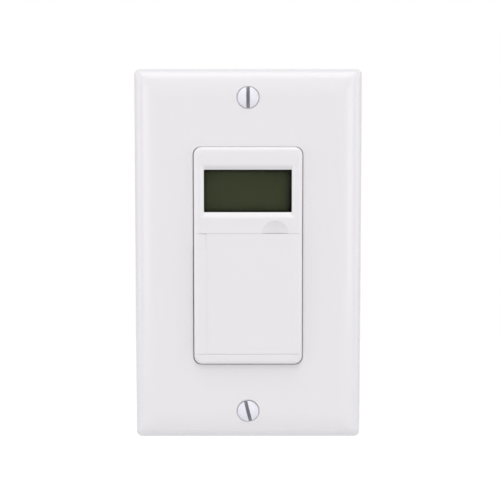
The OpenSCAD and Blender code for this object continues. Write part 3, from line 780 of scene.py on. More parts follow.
    def move(self, x: float, y: float, z: float) -> "Workpiece":
        """Shifts the whole piece."""
        bmesh.ops.translate(self.mesh, vec=(x, y, z), verts=self.mesh.verts[:])
        return self

    def turn(self, degrees: float, axis: str) -> "Workpiece":
        """Turns the whole piece about an axis through the origin."""
        return self.transform(Matrix.Rotation(math.radians(degrees), 4, axis))

    def transform(self, matrix: Matrix) -> "Workpiece":
        """Places the whole piece."""
        bmesh.ops.transform(self.mesh, matrix=matrix, verts=self.mesh.verts[:])
        return self

    def soften(self, width: float, pick: EdgeTest, segments: int = 6) -> "Workpiece":
        """Rounds the edges that a test picks.

        Args:
            width: Radius of the round.
            pick: Test of one edge.
            segments: Steps of the round.

        Returns:
            The piece itself.
        """
        bmesh.ops.bevel(
            self.mesh, geom=[edge for edge in self.mesh.edges if pick(edge)], offset=width,
            offset_type="OFFSET", segments=segments, profile=0.5, affect="EDGES", clamp_overlap=False,
            material=-1,
        )
        return self

    def paint(self, index: int) -> "Workpiece":
        """Gives every face a finish.

        Args:
            index: Number of the finish.

        Returns:
            The piece itself.
        """
        for face in self.mesh.faces:
            face.material_index = index
        return self

    def join(self, other: "Workpiece") -> "Workpiece":
        """Takes in another piece as it is.

        Args:
            other: The other piece, which is used up.

        Returns:
            The piece itself.
        """
        holder = bpy.data.meshes.new("joined")
        other.mesh.to_mesh(holder)
        self.mesh.from_mesh(holder)
        bpy.data.meshes.remove(holder)
        other.mesh.free()
        return self

    def carve(self, *tools: "Workpiece") -> "Workpiece":
        """Cuts each tool's shape out of the piece."""
        return self._combine(tools, "DIFFERENCE")

    def fuse(self, *others: "Workpiece") -> "Workpiece":
        """Melts other pieces into this one."""
        return self._combine(others, "UNION")

    def keep(self, *tools: "Workpiece") -> "Workpiece":
        """Keeps only what lies inside each tool."""
        return self._combine(tools, "INTERSECT")

    def _combine(self, tools: Sequence["Workpiece"], operation: str) -> "Workpiece":
        """Works other solids into the piece, one after the other.

        Args:
            tools: The other solids, which are used up.
            operation: Blender's name for the way that they combine.

        Returns:
            The piece itself.
        """
        for tool in tools:
            holders = [self._holder("worked"), tool._holder("tool")]
            step = holders[0].modifiers.new("step", "BOOLEAN")
            step.operation = operation
            step.solver = "EXACT"
            step.object = holders[1]
            graph = bpy.context.evaluated_depsgraph_get()
            shaped = bpy.data.meshes.new_from_object(holders[0].evaluated_get(graph))
            self.mesh.clear()
            self.mesh.from_mesh(shaped)
            tool.mesh.free()
            spent = [shaped, *(holder.data for holder in holders)]
            for holder in holders:
                bpy.data.objects.remove(holder)
            for mesh in spent:
                bpy.data.meshes.remove(mesh)
        return self

    def _holder(self, name: str) -> bpy.types.Object:
        """Puts the mesh in a scene object with room for two finishes.

        Args:
            name: Name of the object.

        Returns:
            The object.
        """
        mesh = bpy.data.meshes.new(name)
        self.mesh.to_mesh(mesh)
        mesh.materials.append(None)
        mesh.materials.append(None)
        holder = bpy.data.objects.new(name, mesh)
        bpy.context.scene.collection.objects.link(holder)
        return holder

    def finish(
        self, name: str, body: str, nodes: Sequence[str], finishes: Sequence[Finish],
        rounding: float = 0.0, sharp: float = 32.0,
    ) -> None:
        """Turns the work into a piece of the object.

        Args:
            name: The piece's name.
            body: CAD body that it moves with.
            nodes: CAD nodes that it stands for.
            finishes: Its finishes, the main one first.
            rounding: Width of a small round on every sharp edge, in millimetres.
            sharp: Angle in degrees from which an edge stays crisp.
        """
        work = self.mesh
        bmesh.ops.remove_doubles(work, verts=work.verts[:], dist=WELD)
        bmesh.ops.dissolve_degenerate(work, edges=work.edges[:], dist=WELD)
        bmesh.ops.scale(work, vec=(MM, MM, MM), verts=work.verts[:])
        for face in work.faces:
            face.smooth = True
        for edge in work.edges:
            edge.smooth = edge.calc_face_angle(0.0) < math.radians(sharp)
        mesh = bpy.data.meshes.new(name)
        work.to_mesh(mesh)
        work.free()
        for finish in finishes:
            mesh.materials.append(finish.material())
        piece = bpy.data.objects.new(name, mesh)
        bpy.context.scene.collection.objects.link(piece)
        if rounding:
            worn = piece.modifiers.new("worn_edges", "BEVEL")
            worn.width = rounding * MM
            worn.segments = 2
            worn.limit_method = "ANGLE"
            worn.angle_limit = math.radians(sharp)
            worn.harden_normals = False
        even = piece.modifiers.new("even_shading", "WEIGHTED_NORMAL")
        even.keep_sharp = True
        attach(piece, body)
        if nodes:
            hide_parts(*nodes)
        LOG.info("%s: %d faces on %s", name, len(mesh.polygons), body)


@dataclass(frozen=True)
class Screw:
    """One screw, drawn with its seat at y = 0 and its shank along +Y.

    Attributes:
        head: Shape of the head.
        drive: Recess in the head.
        head_r: Radius of the head.
        head_t: Height of the head above its seat.
        shank_r: Radius over the thread.
        length: Length below the seat.
        neck: Length below the seat that has no thread.
        cone: Depth of a countersunk head below its rim.
        slot_w: Width of the recess.
        slot_depth: Depth of the recess.
        slot_turn: Turn of the recess from upright, in degrees.
        pitch: Advance of the thread in one turn.
    """

    head: Head
    drive: Drive
    head_r: float
    head_t: float
    shank_r: float
    length: float
    neck: float = 0.3
    cone: float = 0.0
    slot_w: float = 1.05
    slot_depth: float = 1.0
    slot_turn: float = 0.0
    pitch: float = 0.794

    @property
    def root_r(self) -> float:
        """Radius of the shank between the ridges of the thread."""
        return self.shank_r - 0.6 * self.pitch

    def build(self) -> Workpiece:
        """Models the screw.

        Returns:
            The screw, with its recess painted as the second finish.
        """
        start = self.cone + 0.02
        tip_t = 0.7 * self.shank_r
        tip_r = 0.6 * self.root_r
        shank = [(self.root_r, start), (self.root_r, self.length - tip_t), (tip_r, self.length)]
        screw = Workpiece.lathe([(0, -self.head_t), *self._crown(), *shank, (0, self.length)])
        if self.head is Head.HEX:
            screw.fuse(self._hexagon())
        screw.carve(*self._recess())
        ridge = (max(self.cone, self.neck), self.length - 0.5 * tip_t)
        return screw.join(Workpiece.thread(self.shank_r, self.root_r, ridge, self.pitch))

    def _crown(self) -> list[Span]:
        """Profile of the head.

        Returns:
            Radius and y of each point, from just off the middle to the rim.
        """
        if self.head is Head.OVAL:
            dome_r = (self.head_r**2 + self.head_t**2) / (2 * self.head_t)
            reach = math.asin(self.head_r / dome_r)
            arc = [reach * step / DOME_STEPS for step in range(1, DOME_STEPS + 1)]
            return [(dome_r * math.sin(a), dome_r * (1 - math.cos(a)) - self.head_t) for a in arc]
        if self.head is Head.HEX:
            washer_r = 1.1 * self.head_r
            washer_t = 0.25 * self.head_t
            slope = 0.2
            return [(washer_r - slope, -self.head_t), (washer_r, -washer_t), (washer_r, 0)]
        rim = 0.45 * self.head_t
        edge = [(self.head_r - away, below - self.head_t) for below, away in reversed(fillet(rim))]
        return [*edge, (self.head_r, 0)]

    def _hexagon(self) -> Workpiece:
        """Six sided head with its corners turned off.

        Returns:
            The head.
        """
        top = -self.head_t
        turned = 0.25
        side = [(self.head_r - turned, top), (self.head_r, turned + top), (self.head_r, -BITE)]
        return Workpiece.lathe([(0, top), *side, (0, -BITE)], steps=6)

    def _recess(self) -> list[Workpiece]:
        """Cutters of the recess.

        Returns:
            One cutter for each slot, painted as the second finish.
        """
        single = self.drive is Drive.SLOT
        reach = (1.2 if single else 0.6) * self.head_r
        depth = (-self.head_t - PAST, self.slot_depth - self.head_t)
        half = self.slot_w / 2
        cuts = []
        for turn in (0.0,) if single else (0.0, 90.0):
            cut = Workpiece.block((-half, half), depth, (-reach, reach))
            cuts.append(cut.turn(self.slot_turn + turn, "Y").paint(1))
        return cuts

    def place(
        self, name: str, node: str, seat: Sequence[float], heading: Heading, *finishes: Finish
    ) -> None:
        """Builds the screw where it belongs.

        Args:
            name: The piece's name.
            node: CAD node of the group that it belongs to.
            seat: Middle of the head's seat.
            heading: Way that the shank points.
            finishes: Finish of the screw, and of its recess where that differs.
        """
        screw = self.build().transform(Matrix.Translation(seat) @ heading.turn())
        screw.finish(name, "device", [node], [finishes[0], finishes[-1]])


@dataclass(frozen=True)
class WallPlate:
    """Decorator wall plate and its two screws.

    Attributes:
        border_w: Width of the curved border of the face.
        border_drop: Fall of the curved border.
        edge_r: Rounding of the outer edge.
        corner_r: Corner radius of the outline.
        rim: Width of the rim that meets the wall.
        wall: Thickness of the face.
        hollow_corner: Corner radius of the hollow behind the face.
        opening: Opening that the insert stands in.
        opening_corner: Corner radius of the opening.
        lip: Rounding of the opening's front edge.
        screw_z: Height of a screw above the middle.
        hole_r: Radius of a screw hole.
        hole_steps: Faces round a screw hole.
        sink_r: Radius of a countersink at the face.
        sink_t: Depth of a countersink.
        boss_r: Radius of the boss behind a hole.
        boss_end: Depth at which a boss ends.
        screw: The screws.
        slot_turns: Turn of the upper and the lower screw's slot.
    """

    border_w: float = 8.5
    border_drop: float = 1.5
    edge_r: float = 3.5
    corner_r: float = 1.8
    rim: float = 2.2
    wall: float = 2.2
    hollow_corner: float = 1.0
    opening: Rect = Rect(-16.87, 16.82, -33.8, 33.43)
    opening_corner: float = 2.4
    lip: float = 0.15
    screw_z: float = 48.42
    hole_r: float = 1.95
    hole_steps: int = 48
    sink_r: float = 3.65
    sink_t: float = 1.8
    boss_r: float = 3.2
    boss_end: float = -1.25
    screw: Screw = Screw(
        Head.OVAL, Drive.SLOT, head_r=3.2, head_t=0.9, shank_r=1.75, length=12.7, cone=1.7,
    )
    slot_turns: Span = (0.0, -14.0)

    def build(self) -> None:
        """Models the plate and its screws."""
        box = Box.of("wall_plate")
        front = box.low.y
        outline = box.rect
        section = rolled_edge(self.border_w, self.border_drop, self.edge_r)
        plate = Workpiece.rolled(outline, (front, 0.0), section, self.corner_r)
        inside = front + self.wall
        plate.carve(Workpiece.slab(outline.grown(-self.rim), (inside, PAST), self.hollow_corner))
        for _, side in ENDS:
            boss = Workpiece.bar(0, side * self.screw_z, (inside - BITE, self.boss_end), self.boss_r)
            plate.fuse(boss)
        plate.carve(Workpiece.flared(self.opening, (front, PAST), self.lip, self.opening_corner))
        for _, side in ENDS:
            plate.carve(self._screw_hole(front).move(0, 0, side * self.screw_z))
        plate.finish("wall_plate_moulding", "device", ["wall_plate"], [WHITE_PLASTIC])
        for (name, side), turn in zip(ENDS, self.slot_turns):
            screw = replace(self.screw, slot_turn=turn)
            seat = (0, front, side * self.screw_z)
            # The second finish paints shade into the screw slots.
            screw.place(
                f"plate_screw_{name}", "plate_screws", seat, Heading.WALL, WHITE_ENAMEL, SLOT_PAINTED_SHADE
            )

    def _screw_hole(self, front: float) -> Workpiece:
        """Cutter of a countersunk screw hole.

        Args:
            front: Depth of the plate's face.

        Returns:
            The cutter, round the Y axis.
        """
        sink = [(self.sink_r, front - PAST), (self.sink_r, front), (self.hole_r, front + self.sink_t)]
        profile = [(0, front - PAST), *sink, (self.hole_r, PAST), (0, PAST)]
        return Workpiece.lathe(profile, self.hole_steps)


@dataclass(frozen=True)
class Insert:
    """Outline of the bezel, paddle and door together, taken from the frame.

    Attributes:
        half_w: Half of the width.
        half_h: Half of the height.
        front: Depth of the face.
        door_top: Upper edge of the door.
        gap: Gap left at the seams.
        edge_r: Rounding along the outer edges.
        border_w: Width of the border that falls gently towards those edges.
        border_drop: Fall of that border.
        corner_r: Corner radius seen from the front.
    """

    half_w: float
    half_h: float
    front: float
    door_top: float
    gap: float = 0.2
    edge_r: float = 1.0
    border_w: float = 1.9
    border_drop: float = 0.36
    corner_r: float = 2.4

    @classmethod
    def from_frame(cls) -> "Insert":
        """Reads the outline from the door and the paddle."""
        door = Box.of("access_door")
        return cls(door.high.x, -Box.of("push_paddle").low.z, door.low.y, door.high.z)

    @property
    def across(self) -> Span:
        """Left and right end of a block or cutter that is wider than the insert."""
        return -self.half_w - PAST, self.half_w + PAST

    @property
    def ahead(self) -> float:
        """Depth in front of the face at which cutters start."""
        return self.front - PAST

    @property
    def seam(self) -> float:
        """Height of the bezel's lower edge."""
        return self.door_top + self.gap

    def block(self, z: Span, back: float) -> Workpiece:
        """Block that is wider than the insert, from its face to a depth."""
        return Workpiece.block(self.across, (self.front, back), z)

    def envelope(self, back: float) -> Workpiece:
        """Solid of the whole insert, its edges rounded.

        Args:
            back: Depth at which it ends.

        Returns:
            The solid.
        """
        outline = Rect.round_point(0, 0, self.half_w, self.half_h)
        section = rolled_edge(self.border_w, self.border_drop, self.edge_r)
        return Workpiece.rolled(outline, (self.front, back), section, self.corner_r)


@dataclass(frozen=True)
class KeySet:
    """Programming keys and their places.

    Attributes:
        names: Oblong keys in rows from the upper left.
        legends: Words printed above the keys, that of the reset key last.
        half_w: Half width of an oblong key.
        half_h: Half height of an oblong key.
        corner_r: Corner radius of an oblong key.
        reset_r: Radius of the reset key.
        crown: Rounding of a key's front edge.
        crown_steps: Steps of that rounding on an oblong key.
        dish_r: Radius of an oblong key's finger dish.
        dish_depth: Depth of the finger dish.
        dish_half: Half length of the roller that cuts the dish.
        flange_t: Thickness of the flange that keeps a key in.
        flange_bite: Depth by which the flange sinks into an oblong key.
        flange_corner: Corner radius of the flange.
        letter_h: Height of the legends.
        letter_y: Depth of the floor that they are printed on.
        letter_rise: Distance of a legend above the middle of its key.
    """

    names: tuple[str, ...] = ("program", "mode", "day", "hour", "minute")
    legends: tuple[str, ...] = ("PROG", "MODE", "DAY", "HOUR", "MIN", "RESET")
    half_w: float = 4.2
    half_h: float = 2.4
    corner_r: float = 0.9
    reset_r: float = 1.5
    crown: float = 0.5
    crown_steps: int = 4
    dish_r: float = 22.0
    dish_depth: float = 0.22
    dish_half: float = 6.0
    flange_t: float = 0.6
    flange_bite: float = 0.05
    flange_corner: float = 0.6
    letter_h: float = 1.5
    letter_y: float = -4.0
    letter_rise: float = 3.75

    def place(self, name: str) -> Vector:
        """Middle of a key."""
        return Box.of(f"{name}_key").centre

    def outline(self, name: str) -> Rect:
        """Outline of an oblong key."""
        key = self.place(name)
        return Rect.round_point(key.x, key.z, self.half_w, self.half_h)

    def holes(self, y: Span, room: float) -> list[Workpiece]:
        """Cutters that the keys pass through.

        Args:
            y: Front and back of the cut.
            room: Gap left round each key.

        Returns:
            One cutter for each key.
        """
        corner = self.corner_r + room
        cuts = [Workpiece.slab(self.outline(name).grown(room), y, corner) for name in self.names]
        key = self.place("reset")
        return [*cuts, Workpiece.bar(key.x, key.z, y, self.reset_r + room)]

    def build(self) -> None:
        """Models the keys and prints their legends on the paddle."""
        for name in self.names:
            self._oblong(name)
        reset = Workpiece.stud(Box.of("reset_key"), self.reset_r, self.crown, self.flange_t)
        reset.finish("reset_key_cap", "reset_button", ["reset_key"], [KEY_GREY])
        for name, word in zip((*self.names, "reset"), self.legends):
            key = self.place(name)
            letters = Workpiece.words(word, self.letter_h)
            letters.move(key.x, self.letter_y, key.z + self.letter_rise)
            letters.finish(f"{name}_legend", "paddle", [], [LEGEND_INK])

    def _oblong(self, name: str) -> None:
        """Models one oblong key with a shallow finger dish.

        Args:
            name: Name of the key.
        """
        box = Box.of(f"{name}_key")
        key = box.centre
        front, back = box.y
        flange_y = back - self.flange_t
        cap = Workpiece.slab(self.outline(name), (front, flange_y), self.corner_r)
        cap.soften(self.crown, at(y=front), self.crown_steps)
        dish = Workpiece.bar(0, 0, (-self.dish_half, self.dish_half), self.dish_r).turn(90, "Z")
        cap.carve(dish.move(key.x, front - self.dish_r + self.dish_depth, key.z))
        cap.fuse(Workpiece.slab(box.rect, (flange_y - self.flange_bite, back), self.flange_corner))
        cap.finish(f"{name}_key_cap", f"{name}_button", [f"{name}_key"], [KEY_GREY])


@dataclass(frozen=True)
class Post:
    """Round post with a blind bore for a screw.

    Attributes:
        radius: Radius of the post.
        y: Front and back of the post.
        bore_r: Radius of the bore.
        bore_y: Front and back of the bore's cutter.
    """

    radius: float
    y: Span
    bore_r: float
    bore_y: Span

    def build(self, x: float, z: float) -> Workpiece:
        """The post at a place seen from the front."""
        bore = Workpiece.bar(x, z, self.bore_y, self.bore_r)
        return Workpiece.bar(x, z, self.y, self.radius).carve(bore)


@dataclass(frozen=True)
class DisplayBezel:
    """Fixed bezel, its lens and the liquid crystal display.

    Attributes:
        insert: Outline that the bezel shares with the paddle.
        keys: Keys that pass through the deck.
        wall: Thickness of the sides.
        front_t: Thickness of the face.
        shell_end: Depth at which the shell that shows ends.
        seam_r: Rounding of the lower edge.
        pocket_z: Lower edge of the shell where it meets the flange.
        pocket_corner: Corner radius of the pocket behind the face.
        pin: Depth and height of the paddle's pin.
        pin_r: Radius of the pin's bore.
        pin_start: Left end of the pin's bore.
        scallop: Ball that the finger scallop follows, as x, z and radius.
        scallop_depth: Depth of the finger scallop.
        scallop_steps: Faces of the ball round its axis and along it.
        nail_half: Half width of the wider gap under the scallop.
        nail_gap: Height that the wider gap takes off the bezel.
        window: Window at the lens.
        window_front: Window at the face.
        window_depth: Depth of the window's sloping sides.
        window_roll: How strongly the slopes roll over into the face, 1 for flat ones.
        window_steps: Straight steps of the slopes.
        window_flare: How far the window's cutter widens in front of the face.
        window_corner: Corner radius of the window.
        side_depth: Depth at which the slopes at the left and right end in a straight wall.
        lens_cut: Depth of the window's cutter behind the lens's face.
        lens_room: Gap round the lens.
        lens_corner: Corner radius of the lens.
        lens_r: Rounding of the lens's front edge.
        flange: Outline of the flange.
        flange_y: Front and back of the flange.
        flange_corner: Corner radius of the flange.
        flange_cut: Front and back of the flange's cutters.
        pan_hole: Hole that the paddle's pan goes through.
        deck: Outline of the deck.
        deck_y: Front and back of the deck.
        deck_corner: Corner radius of the deck and of the pan's hole.
        key_room: Gap round a key in the deck.
        plunger_r: Radius of the plunger's hole.
        lug: Block that holds the pin at the right, as its spans along X, Y and Z.
        post: Posts that take the housing screws.
        post_at: Distance of those posts from the middle, across and up.
        board_post: Posts that take the board screws.
        board_posts: Places of those posts.
        ledge: Height of the display's lower glass that shows past the upper one.
        glass_corner: Corner radius of the glass.
        glass_r: Rounding of the glass's front edge.
    """

    insert: Insert
    keys: KeySet
    wall: float = 1.6
    front_t: float = 2.0
    shell_end: float = -2.7
    seam_r: float = 0.1
    pocket_z: float = 7.0
    pocket_corner: float = 0.8
    pin: Span = (-1.0, 4.4)
    pin_r: float = 1.01
    pin_start: float = -15.1
    scallop: Point = (8.3, 6.85, 7.06)
    scallop_depth: float = 1.35
    scallop_steps: tuple[int, int] = (72, 48)
    nail_half: float = 4.0
    nail_gap: float = 0.06
    window: Rect = Rect(*WINDOW_SIDES)
    window_front: Rect = Rect(-14.75, 14.5, 11.45, 28.25)
    window_depth: float = 0.9
    window_roll: float = 1.6
    window_steps: int = 5
    window_flare: float = 1.5
    window_corner: float = 0.25
    side_depth: float = 0.3
    lens_cut: float = 0.5
    lens_room: float = 0.1
    lens_corner: float = 0.5
    lens_r: float = 0.12
    flange: Rect = Rect(-21.0, 21.0, -35.0, 35.0)
    flange_y: Span = (-2.8, -1.2)
    flange_corner: float = 3.0
    flange_cut: Span = (-4.0, 1.0)
    pan_hole: Rect = Rect(-14.6, 14.6, -29.4, 6.85)
    deck: Rect = Rect(-15.0, 15.0, -29.9, 1.2)
    deck_y: Span = (-1.6, -0.2)
    deck_corner: float = 0.5
    key_room: float = 0.1
    plunger_r: float = 1.56
    lug: tuple[Span, Span, Span] = ((13.3, 15.1), (-2.4, 0.2), (0.8, 7.05))
    post: Post = Post(2.8, (-1.4, 6.0), 1.25, (-0.8, 7.0))
    post_at: Span = (18.9, 29.3)
    board_post: Post = Post(1.8, (-1.5, 4.2), 1.0, (0.4, 5.0))
    board_posts: tuple[Span, ...] = ((-7.5, 7.6), (7.5, 7.6), (-11.5, -27.9), (11.5, -27.9))
    ledge: float = 1.6
    glass_corner: float = 0.2
    glass_r: float = 0.1

    def build(self) -> None:
        """Models the bezel, the lens and the display."""
        lens = Box.of("display_lens")
        bezel = self._front(lens)
        bezel.fuse(self._flange(), self._deck(), *self._posts())
        bore_x = (self.pin_start, Box.of("front_bezel").high.x + PAST)
        bezel.carve(Workpiece.bar(0, 0, bore_x, self.pin_r).turn(-90, "Z").move(0, *self.pin))
        bezel.finish("bezel_moulding", "device", ["front_bezel"], [WHITE_PLASTIC], sharp=18.0)
        window = Workpiece.slab(lens.rect, lens.y, self.lens_corner)
        window.soften(self.lens_r, at(y=lens.low.y), 2)
        window.finish("lens_window", "device", ["display_lens"], [CLEAR])
        self._display()

    def _front(self, lens: Box) -> Workpiece:
        """Shell that shows, with its window and finger scallop.

        Args:
            lens: Box of the lens.

        Returns:
            The shell.
        """
        one = self.insert
        rect = Rect(-one.half_w, one.half_w, one.seam, one.half_h)
        shell = one.block((rect.z0, rect.z1 + PAST), self.shell_end)
        shell.soften(self.seam_r, at(y=one.front, z=rect.z0), 3)
        shell.keep(one.envelope(self.shell_end + PAST))
        pocket_y = one.front + self.front_t
        seat = lens.rect.grown(self.lens_room)
        x, z, radius = self.scallop
        ball = Workpiece()
        around, along = self.scallop_steps
        bmesh.ops.create_uvsphere(ball.mesh, u_segments=around, v_segments=along, radius=radius)
        nail_x = (x - self.nail_half, x + self.nail_half)
        nail_z = (rect.z0 - PAST, rect.z0 + self.nail_gap)
        return shell.carve(
            Workpiece.slab(rect.grown(-self.wall), (pocket_y, PAST), self.pocket_corner),
            Workpiece.slab(seat, (lens.low.y, pocket_y + BITE), self.lens_corner),
            self._funnel(lens.low.y + self.lens_cut),
            ball.move(x, one.front - radius + self.scallop_depth, z),
            Workpiece.block(nail_x, (one.ahead, pocket_y), nail_z),
        )

    def _funnel(self, back: float) -> Workpiece:
        """Cutter of the window, whose sides roll over into the face.

        Args:
            back: Depth at which it ends.

        Returns:
            The cutter.
        """
        one = self.insert
        outlines = [(back, self.window)]
        for step in range(self.window_steps + 1):
            share = step / self.window_steps
            depth = self.window_depth * (1 - share) ** self.window_roll
            sides = self.window.towards(self.window_front, max(0.0, 1 - depth / self.side_depth))
            ends = self.window.towards(self.window_front, share)
            outlines.append((one.front + depth, Rect(*sides.x, *ends.z)))
        outlines.append((one.ahead, self.window_front.grown(self.window_flare)))
        return Workpiece.tower(outlines, self.window_corner)

    def _flange(self) -> Workpiece:
        """Plate that lies on the strap, open where the paddle's pan goes in.

        Returns:
            The plate.
        """
        one = self.insert
        inside = Rect(-one.half_w, one.half_w, self.pocket_z, one.half_h).grown(-self.wall)
        flange = Workpiece.slab(self.flange, self.flange_y, self.flange_corner)
        return flange.carve(
            Workpiece.slab(inside, self.flange_cut, self.pocket_corner),
            Workpiece.slab(self.pan_hole, self.flange_cut, self.deck_corner),
        )

    def _deck(self) -> Workpiece:
        """Deck behind the paddle that guides the keys and the plunger.

        Returns:
            The deck.
        """
        cut_y = (self.deck_y[0] - PAST, self.deck_y[1] + PAST)
        deck = Workpiece.slab(self.deck, self.deck_y, self.deck_corner)
        plunger = Box.of("on_off_plunger").centre
        deck.carve(*self.keys.holes(cut_y, self.key_room))
        return deck.carve(Workpiece.bar(plunger.x, plunger.z, cut_y, self.plunger_r))

    def _posts(self) -> list[Workpiece]:
        """Screw posts and the lugs that hold the pin.

        Returns:
            All of them.
        """
        made = []
        x, z = self.post_at
        for side in (1, -1):
            made += [self.post.build(side * x, end * z) for end in (1, -1)]
            lug = Workpiece.block(*self.lug)
            made.append(lug if side > 0 else lug.move(-sum(self.lug[0]), 0, 0))
        return made + [self.board_post.build(*place) for place in self.board_posts]

    def _display(self) -> None:
        """Models the two glass layers of the display."""
        box = Box.of("lcd_panel")
        front, back = box.y
        middle = (front + back) / 2
        rect = box.rect
        upper = Rect(*rect.x, rect.z0 + self.ledge, rect.z1 - self.ledge)
        glass = Workpiece.slab(upper, (front, middle), self.glass_corner)
        glass.soften(self.glass_r, at(y=front), 2)
        glass.join(Workpiece.slab(rect, (middle, back), self.glass_corner))
        glass.finish("display_glass", "device", ["lcd_panel"], [LCD])


@dataclass(frozen=True)
class PushPaddle:
    """Push paddle with its foot and hinge knuckle, the key door and the on/off plunger.

    Attributes:
        insert: Outline shared with the bezel.
        keys: Keys that stand in the paddle's floor.
        door_t: Thickness of the door.
        door_room: Gap behind the door.
        door_gap: Gap above and below the door.
        door_r: Rounding of the door's lower and upper edge.
        rim_t: Thickness of the rim behind the door.
        pan: Outline of the pan that holds the keys.
        pan_corner: Corner radius of the pan.
        pan_wall: Thickness of the pan's walls.
        pan_lip: Rounding of the pan's front edge.
        floor: Front and back of the pan's floor.
        key_cut: Distance in front of the floor at which the keys' cutters start.
        key_room: Gap round a key in the floor.
        foot_top: Upper edge of the foot.
        knuckle_x: Right side of the hinge knuckle.
        knuckle_z: Lower side of the hinge knuckle.
        hinge_in: Distance of the hinge axis from the left side and from the face.
        hinge_r: Radius cleared round the hinge axis beside the door.
        trunnion_r: Radius of the door's trunnions.
        trunnions: Length of the lower and the upper trunnion past the door.
        trunnion_bite: Depth by which they sink into the door.
        bore_room: Gap round a trunnion.
        bores: Depth of the lower and the upper bore.
        latch: Place of the latch tab as x and z.
        latch_tab: Half width and half height of the tab.
        latch_t: Length of the tab behind the door.
        latch_slot: Half width and half height of the slot that it goes into.
        score_x: Place of the score line down the door.
        score_half: Half width of the score line.
        score_depth: Depth of the score line.
        shoulder_gap: Gap between the door and the lower side of the knuckle.
        notch_gap: Gap between the door's front skin and the right side of the knuckle.
        notch_skin: Thickness of that front skin.
        notch_room: Gap behind it, in which the door turns past the knuckle.
        dashes: Wider gaps above the knuckle, as the left end and the height of each.
        dash_end: Right end of the widest of those gaps, in the door's corner.
        dash_depth: Depth of that gap in the door.
        pivot: Depth and height of the paddle's pin.
        ear_x: Distance of the paddle's ears from the middle.
        ear_half: Half thickness of an ear.
        ear_r: Radius of an ear.
        ear_drop: Height of an ear's stem below the pin.
        ear_bite: Depth by which an ear sinks into the floor.
        ear_bore_r: Radius of an ear's bore.
        plunger_step: Width of the plunger's flange past its pin.
        plunger_crown: Rounding of the plunger's nose.
        plunger_flange: Thickness of the plunger's flange.
    """

    insert: Insert
    keys: KeySet
    door_t: float = 1.6
    door_room: float = 0.2
    door_gap: float = 0.035
    door_r: Span = (0.15, 0.1)
    rim_t: float = 1.4
    pan: Rect = Rect(-14.2, 14.2, -29, 5)
    pan_corner: float = 1.0
    pan_wall: float = 1.2
    pan_lip: float = 0.3
    floor: Span = (-4.0, -2.8)
    key_cut: float = 0.5
    key_room: float = 0.3
    foot_top: float = -30.25
    knuckle_x: float = -12.85
    knuckle_z: float = 2.2
    hinge_in: Span = (1.05, 1.0)
    hinge_r: float = 1.5
    trunnion_r: float = 0.55
    trunnions: Span = (1.8, 2.2)
    trunnion_bite: float = 0.5
    bore_room: float = 0.05
    bores: Span = (2.0, 2.4)
    latch: Span = (14.9, -11.5)
    latch_tab: Span = (0.4, 2.0)
    latch_t: float = 1.2
    latch_slot: Span = (0.65, 2.4)
    score_x: float = -12.5
    score_half: float = 0.15
    score_depth: float = 0.09
    shoulder_gap: float = 0.012
    notch_gap: float = 0.035
    notch_skin: float = 0.08
    notch_room: float = 0.25
    dashes: tuple[Span, ...] = ((-15.0, 0.07), (-13.6, 0.13))
    dash_end: float = -12.3
    dash_depth: float = 0.6
    pivot: Span = (-1.0, 4.4)
    ear_x: float = 11.6
    ear_half: float = 1.2
    ear_r: float = 2.0
    ear_drop: float = 1.9
    ear_bite: float = 0.4
    ear_bore_r: float = 1.05
    plunger_step: float = 0.9
    plunger_crown: float = 0.4
    plunger_flange: float = 0.6

    @property
    def rim(self) -> Span:
        """Front and back of the rim."""
        front = self.insert.front + self.door_t + self.door_room
        return front, front + self.rim_t

    @property
    def hinge(self) -> Span:
        """Place of the door's hinge axis, as x and y."""
        return self.hinge_in[0] - self.insert.half_w, self.insert.front + self.hinge_in[1]

    def build(self) -> None:
        """Models the paddle, the door and the plunger."""
        self._paddle()
        self._door()
        box = Box.of("on_off_plunger")
        radius = box.high.x - box.centre.x - self.plunger_step
        plunger = Workpiece.stud(box, radius, self.plunger_crown, self.plunger_flange)
        plunger.finish("plunger_pin", "on_off_rod", ["on_off_plunger"], [IVORY])

    def _upright(self, z: Span, radius: float) -> Workpiece:
        """Round bar on the door's hinge axis."""
        x, y = self.hinge
        return Workpiece.bar(0, 0, z, radius).turn(90, "X").move(x, y, 0)

    def _at_latch(self, half: Span, y: Span) -> Workpiece:
        """Block of the given half sizes round the latch."""
        rect = Rect.round_point(*self.latch, *half)
        return Workpiece.block(rect.x, y, rect.z)

